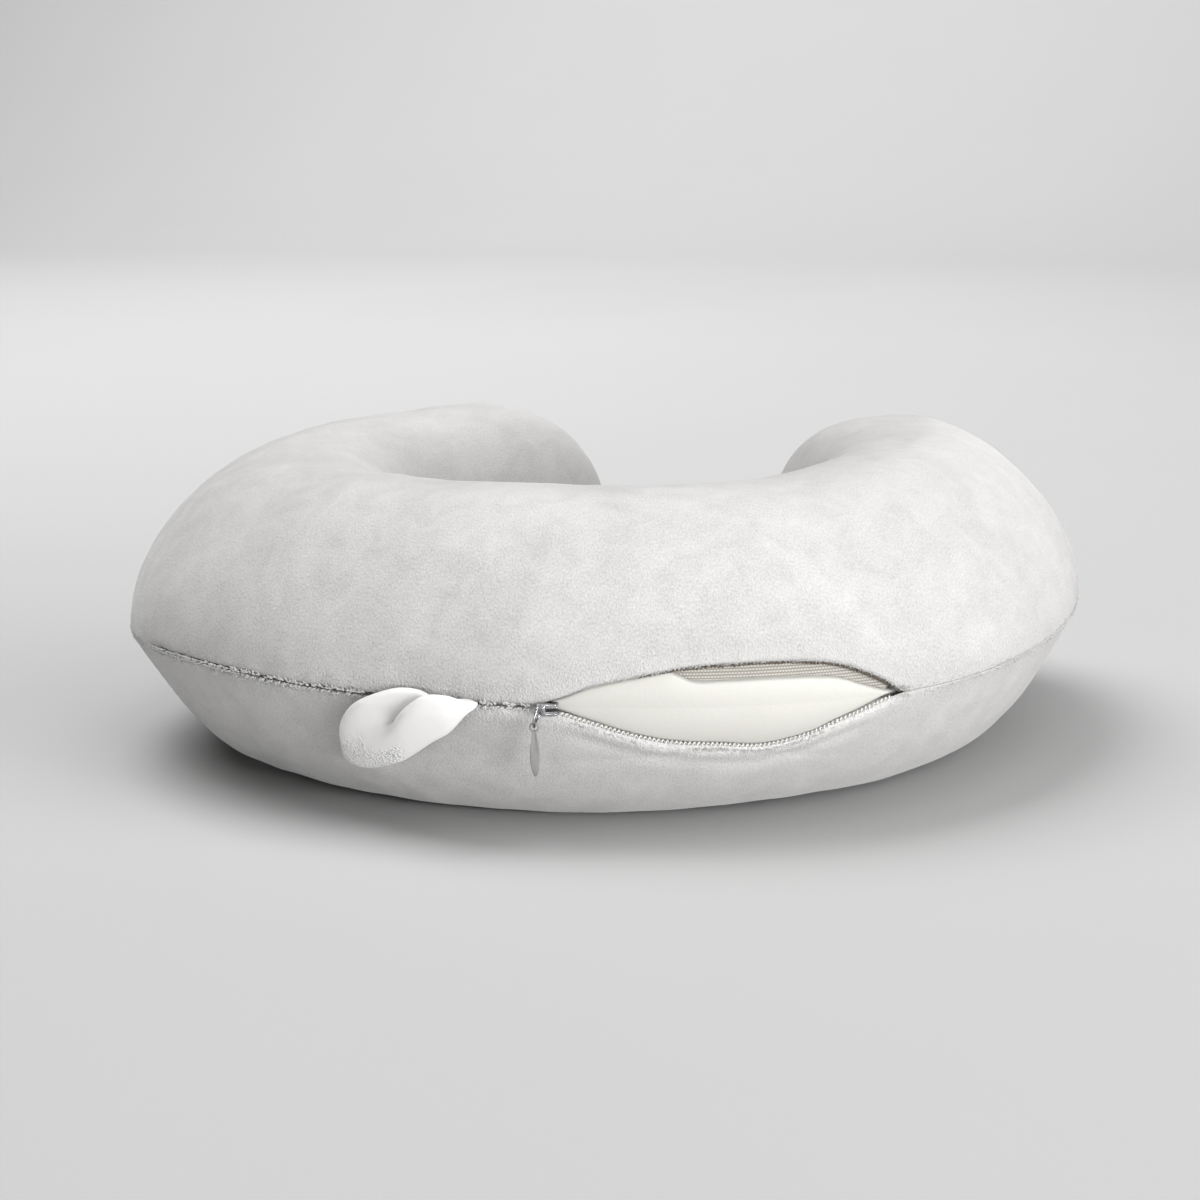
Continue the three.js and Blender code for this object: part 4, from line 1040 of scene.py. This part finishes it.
def smoothPath(points, steps):
    # smooth open curve through the points
    points = np.asarray(points, float)
    padded = np.concatenate([2 * points[:1] - points[1:2], points, 2 * points[-1:] - points[-2:-1]])
    at = np.linspace(0, len(points) - 1, steps)
    k = np.minimum(at.astype(int), len(points) - 2)
    t = (at - k)[:, None]
    p0, p1, p2, p3 = (padded[k + j] for j in range(4))
    return throughPoints(p0, p1, p2, p3, t)


def bailSurface():
    path = ontoSeam(smoothPath(bail["path"], bail["steps"]), bail["angle"], slider["depth"] - slider["sink"])
    return tubeSurface("bail", path, bail["radius"], bail["sides"])


def leafOutline(stops):
    # round eye, narrow neck, leaf widest two thirds down; starts and ends at the tip
    tip = pull["eye"] - pull["length"]
    half, neck, eye = pull["width"] / 2, pull["neck"] / 2, pull["eye"]
    neckDrop = -math.sqrt(eye ** 2 - neck ** 2)
    belly = pull["widest"] * tip
    wideShare, longShare = pull["tipRound"]
    t = np.linspace(0, 1, 30)[:, None]
    down = (np.array([neck, neckDrop]), np.array([neck, pull["neckHold"] * neckDrop]),
            np.array([half, pull["wideHold"] * belly]))
    leaf = ((1 - t) ** 3 * down[0] + 3 * t * (1 - t) ** 2 * down[1] + 3 * t ** 2 * (1 - t) * down[2]
            + t ** 3 * np.array([half, belly]))
    end = ((1 - t) ** 2 * np.array([half, belly])
           + 2 * t * (1 - t) * np.array([wideShare * half, longShare * tip]) + t ** 2 * np.array([0.0, tip]))
    turn = np.linspace(math.atan2(neckDrop, neck), np.pi / 2, 30)[:, None]
    ring = eye * np.concatenate([np.cos(turn), np.sin(turn)], axis=1)
    rightHalf = np.concatenate([end[::-1], leaf[::-1][1:], ring[1:]])
    outline = np.concatenate([rightHalf, (rightHalf * [-1, 1])[::-1][1:]])
    run = runAlong(outline)
    at = np.linspace(0, run[-1], stops, endpoint=False)
    return np.stack([np.interp(at, run, outline[:, k]) for k in (0, 1)], axis=-1)


def pullSurface():
    # ring between the leaf's outline and the hole, its section a flat oval, so both rims are round
    rim = leafOutline(pull["rimStops"])
    below = rim[:, 1] < -pull["hole"]
    turn = np.where(below, -np.pi / 2 + 0.25 * np.sign(rim[:, 0]) * np.abs(rim[:, 0] / pull["width"]),
                    np.arctan2(rim[:, 1], rim[:, 0]))
    hole = pull["hole"] * np.stack([np.cos(turn), np.sin(turn)], axis=-1)
    around = np.linspace(0, 2 * np.pi, pull["roundStops"], endpoint=False)
    share = 0.5 + 0.5 * signedPower(np.cos(around), 0.55)
    lift = signedPower(np.sin(around), 0.5)
    flat = hole[:, None] + (rim - hole)[:, None] * share[None, :, None]
    # thickest down the middle of the leaf, thinner at its tip
    thin = 1 - 0.25 * smoothStep(0.3, 1.0, -rim[:, 1] / pull["length"])[:, None]
    depth = np.broadcast_to(lift * pull["thick"] / 2, flat.shape[:2]) * thin
    grid = np.concatenate([flat, depth[..., None]], axis=-1)
    across, drop, out = bail["path"][bail["lowest"]]
    grid = grid + np.array([across, drop - pull["slack"], out])
    placed = ontoSeam(grid.reshape(-1, 3), bail["angle"], slider["depth"] - slider["sink"])
    return gridMesh("pull", placed.reshape(grid.shape), np.linspace(0, pull["rimMm"], len(rim)),
                    np.broadcast_to(around, flat.shape[:2]), closedAlong=True)


addPiece("zip_slider_body", sliderSurface(), chrome, "slider_chrome", "zip_slider")
addPiece("zip_bail_wire", bailSurface(), chrome, "slider_chrome", "zip_bail")
addPiece("zip_pull_leaf", pullSurface(), lacquer, "pull_enamel", "zip_pull")


# The same velour undyed: near white, the knitted ground showing as fine dents where it bends
bandLook = {
    "brushPerMetre": 140.0,
    "dentsPerMetre": 1300.0,
    "tones": ("#c6c5c4", "#cecdcc"),
    # cloth coordinate (0 along, 1 across) and the metres over which the dents set in or fade
    "bend": [(0, 0.022, 0.030), (0, 0.047, 0.040), (1, -0.002, 0.003)],
}
bandVelour = newMaterial("undyed_velour_band")
bandPlace = addNode(bandVelour, "ShaderNodeTexCoord")
bandBrush = addNode(bandVelour, "ShaderNodeTexNoise", {"Vector": bandPlace.outputs["Object"],
                                                       "Scale": bandLook["brushPerMetre"],
                                                       "Detail": 3.0, "Distortion": 1.0})
bandGrain = addNode(bandVelour, "ShaderNodeTexVoronoi", {"Vector": bandPlace.outputs["Object"],
                                                         "Scale": bandLook["dentsPerMetre"]})
bandParts = addNode(bandVelour, "ShaderNodeSeparateXYZ", {0: bandPlace.outputs["UV"]})
dented = 1.0
for axis, start, end in bandLook["bend"]:
    mask = addNode(bandVelour, "ShaderNodeMapRange", {"Value": bandParts.outputs[axis], 1: start, 2: end},
                   interpolation_type="SMOOTHSTEP")
    dented = addNode(bandVelour, "ShaderNodeMath", {0: mask.outputs[0], 1: dented},
                     operation="MULTIPLY").outputs[0]
bandTone = addNode(bandVelour, "ShaderNodeMix", {0: bandBrush.outputs[0], 6: linear(bandLook["tones"][0]),
                                                 7: linear(bandLook["tones"][1])}, data_type="RGBA")
bandNap = addNode(bandVelour, "ShaderNodeBump", {"Height": bandBrush.outputs[0], "Strength": 0.12,
                                                 "Distance": 0.6 * mm})
bandBump = addNode(bandVelour, "ShaderNodeBump", {"Height": bandGrain.outputs[0], "Strength": dented,
                                                  "Distance": 0.7 * mm, "Normal": bandNap.outputs[0]})
finishMaterial(bandVelour, {"Base Color": bandTone.outputs[2], "Roughness": 0.9, "Specular IOR Level": 0.15,
                            "Sheen Weight": 0.2, "Sheen Roughness": 0.45, "Normal": bandBump.outputs[0]})

hangLoop = {
    "rootAngle": 6.3,
    "mmPerDegree": 2.65,
    "normalReach": 6.0,
    "rounding": 0.66,
    # A soft band that turns back in its own plane, so that only a slit is left between its legs.
    # Inner edge: along the seam to the left, up, off the cover; outer edge the same; thickness
    "rows": [(-2.6, 1.4, 2.2, -2.6, 0.7, 2.2, 1.2), (0.2, 2.5, 5.0, 0.2, -1.2, 4.6, 2.6),
             (5.0, 3.9, 7.0, 5.0, -5.4, 5.9, 3.6), (10.6, 3.9, 7.9, 11.6, -9.6, 6.1, 4.4),
             (14.6, 2.3, 8.1, 17.6, -14.0, 6.0, 4.8), (17.6, 0.4, 7.9, 23.5, -17.8, 5.9, 5.0),
             (19.6, -1.2, 7.4, 30.5, -20.8, 5.6, 5.2), (20.6, -2.2, 6.8, 38.4, -22.9, 5.4, 5.4),
             (21.1, -2.8, 6.1, 44.6, -20.9, 5.2, 5.6), (21.3, -3.3, 5.4, 43.9, -13.6, 5.0, 5.6),
             (21.2, -3.8, 4.4, 41.2, -6.6, 4.8, 5.2), (20.8, -4.3, 3.7, 36.0, -1.3, 4.4, 4.9),
             (20.0, -4.8, 3.0, 29.3, 1.8, 3.8, 4.6), (18.4, -5.3, 2.6, 21.6, 3.9, 3.2, 4.4),
             (15.0, -5.6, 2.4, 15.2, 3.8, 2.8, 4.2), (10.6, -5.2, 2.4, 10.6, 2.2, 2.6, 4.0),
             (5.0, -3.4, 2.1, 5.0, 1.9, 2.1, 3.4), (0.2, -0.6, 1.7, 0.2, 1.9, 1.7, 2.4)],
    "steps": 200,
    "sides": 48,
}


def closedPath(points, steps):
    # smooth closed curve through the points
    points = np.asarray(points, float)
    count = len(points)
    at = np.linspace(0, count, steps, endpoint=False)
    k = at.astype(int)
    t = (at - k)[:, None]
    p0, p1, p2, p3 = (points[(k + j) % count] for j in (-1, 0, 1, 2))
    return throughPoints(p0, p1, p2, p3, t)


def loopSurface():
    # flat oval section between the two edges, as thick as the row says; distance along the seam
    # turns into an angle, distance up runs over the surface, and the lift goes off it
    rows = closedPath(hangLoop["rows"], hangLoop["steps"])
    inner, outer = rows[:, None, 0:3], rows[:, None, 3:6]
    turn = (np.arange(hangLoop["sides"]) + 0.5) / hangLoop["sides"] * 2 * np.pi
    wide = signedPower(np.cos(turn), hangLoop["rounding"])
    deep = signedPower(np.sin(turn), hangLoop["rounding"])
    flat = (inner + outer) / 2 + (outer - inner) / 2 * wide[None, :, None]
    lift = flat[..., 2] + rows[:, 6:7] / 2 * deep
    length = lengthAt(hangLoop["rootAngle"] - flat[..., 0] / hangLoop["mmPerDegree"]).ravel()
    above = flat[..., 1].ravel()
    outward = skinAxes(length, above, hangLoop["normalReach"])[2]
    points = skinPoint(length, above) + outward * lift.reshape(-1, 1)
    run = runAlong((inner + outer)[:, 0] / 2)
    half = np.linalg.norm((outer - inner)[:, 0], axis=1) / 2
    return gridMesh("loop", points.reshape(*flat.shape), run, half[:, None] * wide, closedAlong=True)


loop = addPiece("hanging_loop_band", loopSurface(), bandVelour, "loop_velour", "hang_loop")


# Pile that stands out at the seams: tufts that the stitches push up, and loose single fibres.
# Fibres are drawn 0.2 mm thick, ten times the real ones, so that they show.
# panel, how many, from and to in degrees, root from the edge, length, radius, sides, lean along
# the seam and away from it, lift off the cover, spread
pileSets = [
    ("upper", 210, (-25, 13), (0.0, 0.5), (1.1, 1.8), 0.27, 6, -0.8, 0.6, 0.15, 0.5),
    ("lower", 190, (-25, 13), (0.0, 0.4), (1.1, 1.8), 0.27, 6, -0.8, 0.4, 0.15, 0.5),
    ("upper", 110, (-42.6, -24), (0.0, 0.3), (0.9, 1.5), 0.26, 6, -1.0, 0.2, 0.1, 0.4),
    ("lower", 110, (-42.6, -24), (0.0, 0.3), (0.9, 1.5), 0.26, 6, -1.0, 0.2, 0.1, 0.4),
    ("upper", 500, (-43, 13), (0.2, 2.6), (0.9, 1.8), 0.08, 3, -0.5, 0.6, 0.1, 0.8),
    ("lower", 300, (-43, 13), (0.2, 2.0), (0.9, 1.6), 0.08, 3, -0.5, 0.6, 0.1, 0.8),
    ("upper", 260, (14, 53), (0.1, 0.6), (0.6, 1.1), 0.09, 4, 0.0, -0.8, 0.05, 0.9),
    ("lower", 300, (17, 50), (0.3, 1.2), (0.8, 1.3), 0.07, 3, 0.0, 0.9, 0.02, 0.5),
    ("upper", 16, (-43.2, -42.3), (0.0, 0.6), (1.3, 2.2), 0.12, 3, -0.6, 0.6, 0.3, 1.0),
    ("upper", 26, (52.8, 53.9), (0.0, 0.6), (1.4, 2.4), 0.1, 3, 0.3, 0.8, 0.2, 1.0),
    ("lower", 26, (52.8, 53.9), (0.0, 0.6), (1.4, 2.4), 0.1, 3, 0.3, 0.8, 0.2, 1.0),
    ("upper", 200, (54, 150), (0.1, 0.9), (0.7, 1.3), 0.07, 3, 0.0, 0.8, 0.2, 1.0),
    ("lower", 200, (54, 150), (0.1, 0.9), (0.7, 1.3), 0.07, 3, 0.0, 0.8, 0.2, 1.0),
    ("upper", 200, (-150, -43), (0.1, 0.9), (0.7, 1.3), 0.07, 3, 0.0, 0.8, 0.2, 1.0),
    ("lower", 200, (-150, -43), (0.1, 0.9), (0.7, 1.3), 0.07, 3, 0.0, 0.8, 0.2, 1.0),
]
pile = {
    "root": 0.6,        # mm that a root is sunk in the cloth
    "clear": 0.15,      # and how far the fibre comes out at once
    "rings": 5,
    "thickness": (0.7, 1.3),
    "slant": 0.35,
    "covered": [(-6.4, 7.4), (13.0, 17.2)],     # degrees under the loop and the slider
}


def pileSurface(panel, seed):
    # each fibre is a thin round cone on a bent line: from its root it rises off the cover and
    # then bends over towards its own direction on the cloth
    draw = np.random.default_rng(seed)
    sign = 1 if panel == "upper" else -1
    points, quads, total = [], [], 0
    for where, count, span, root, long, radius, sides, lean, reach, lift, spread in pileSets:
        if where != panel:
            continue
        angle = draw.uniform(*span, count)
        side, slant, wide = draw.normal(size=(3, count))
        size, fromEdge, thick = (draw.uniform(*span, count) for span in (long, root, pile["thickness"]))
        kept = ~np.any([(angle > low) & (angle < high) for low, high in pile["covered"]], axis=0)
        length, fromEdge = lengthAt(angle[kept]), fromEdge[kept]
        above = sign * (lipAt(panel, angle[kept]) + coverPanel["gap"] / 2 + fromEdge)
        along, up, outward = skinAxes(length, above)
        away = unit(along * (lean + spread * side[kept])[:, None]
                    + up * (sign * (reach + pile["slant"] * spread * slant[kept]))[:, None])
        start = skinPoint(length, above) - outward * pile["root"]
        t = np.linspace(0, 1, pile["rings"])[None, :, None]
        reached = size[kept][:, None, None] * t
        rise = (pile["root"] + pile["clear"]) * np.minimum(1, 3 * t) + lift * reached * (1.4 - t)
        line = start[:, None] + outward[:, None] * rise + away[:, None] * reached
        ahead = unit(np.gradient(line, axis=1))
        aside = unit(np.cross(ahead, outward[:, None]))
        over = np.cross(aside, ahead)
        turn = (np.arange(sides) / sides * 2 * np.pi)[None, None, :, None]
        width = (radius * thick[kept])[:, None, None, None] * (np.sin(np.pi * t ** 0.7) ** 0.6)[..., None]
        ring = line[:, :, None] + width * (aside[:, :, None] * np.cos(turn) + over[:, :, None] * np.sin(turn))
        number = total + np.arange(ring[..., 0].size).reshape(ring.shape[:3])
        quads.append(ringQuads(number))
        points.append(ring.reshape(-1, 3))
        total += number.size
    return tidyMesh(makeMesh("pile_" + panel, np.concatenate(points), np.concatenate(quads)))


addPiece("seam_pile_upper", pileSurface("upper", 5), pileFibre, "velour_upper")
addPiece("seam_pile_lower", pileSurface("lower", 6), pileFibre, "velour_lower")
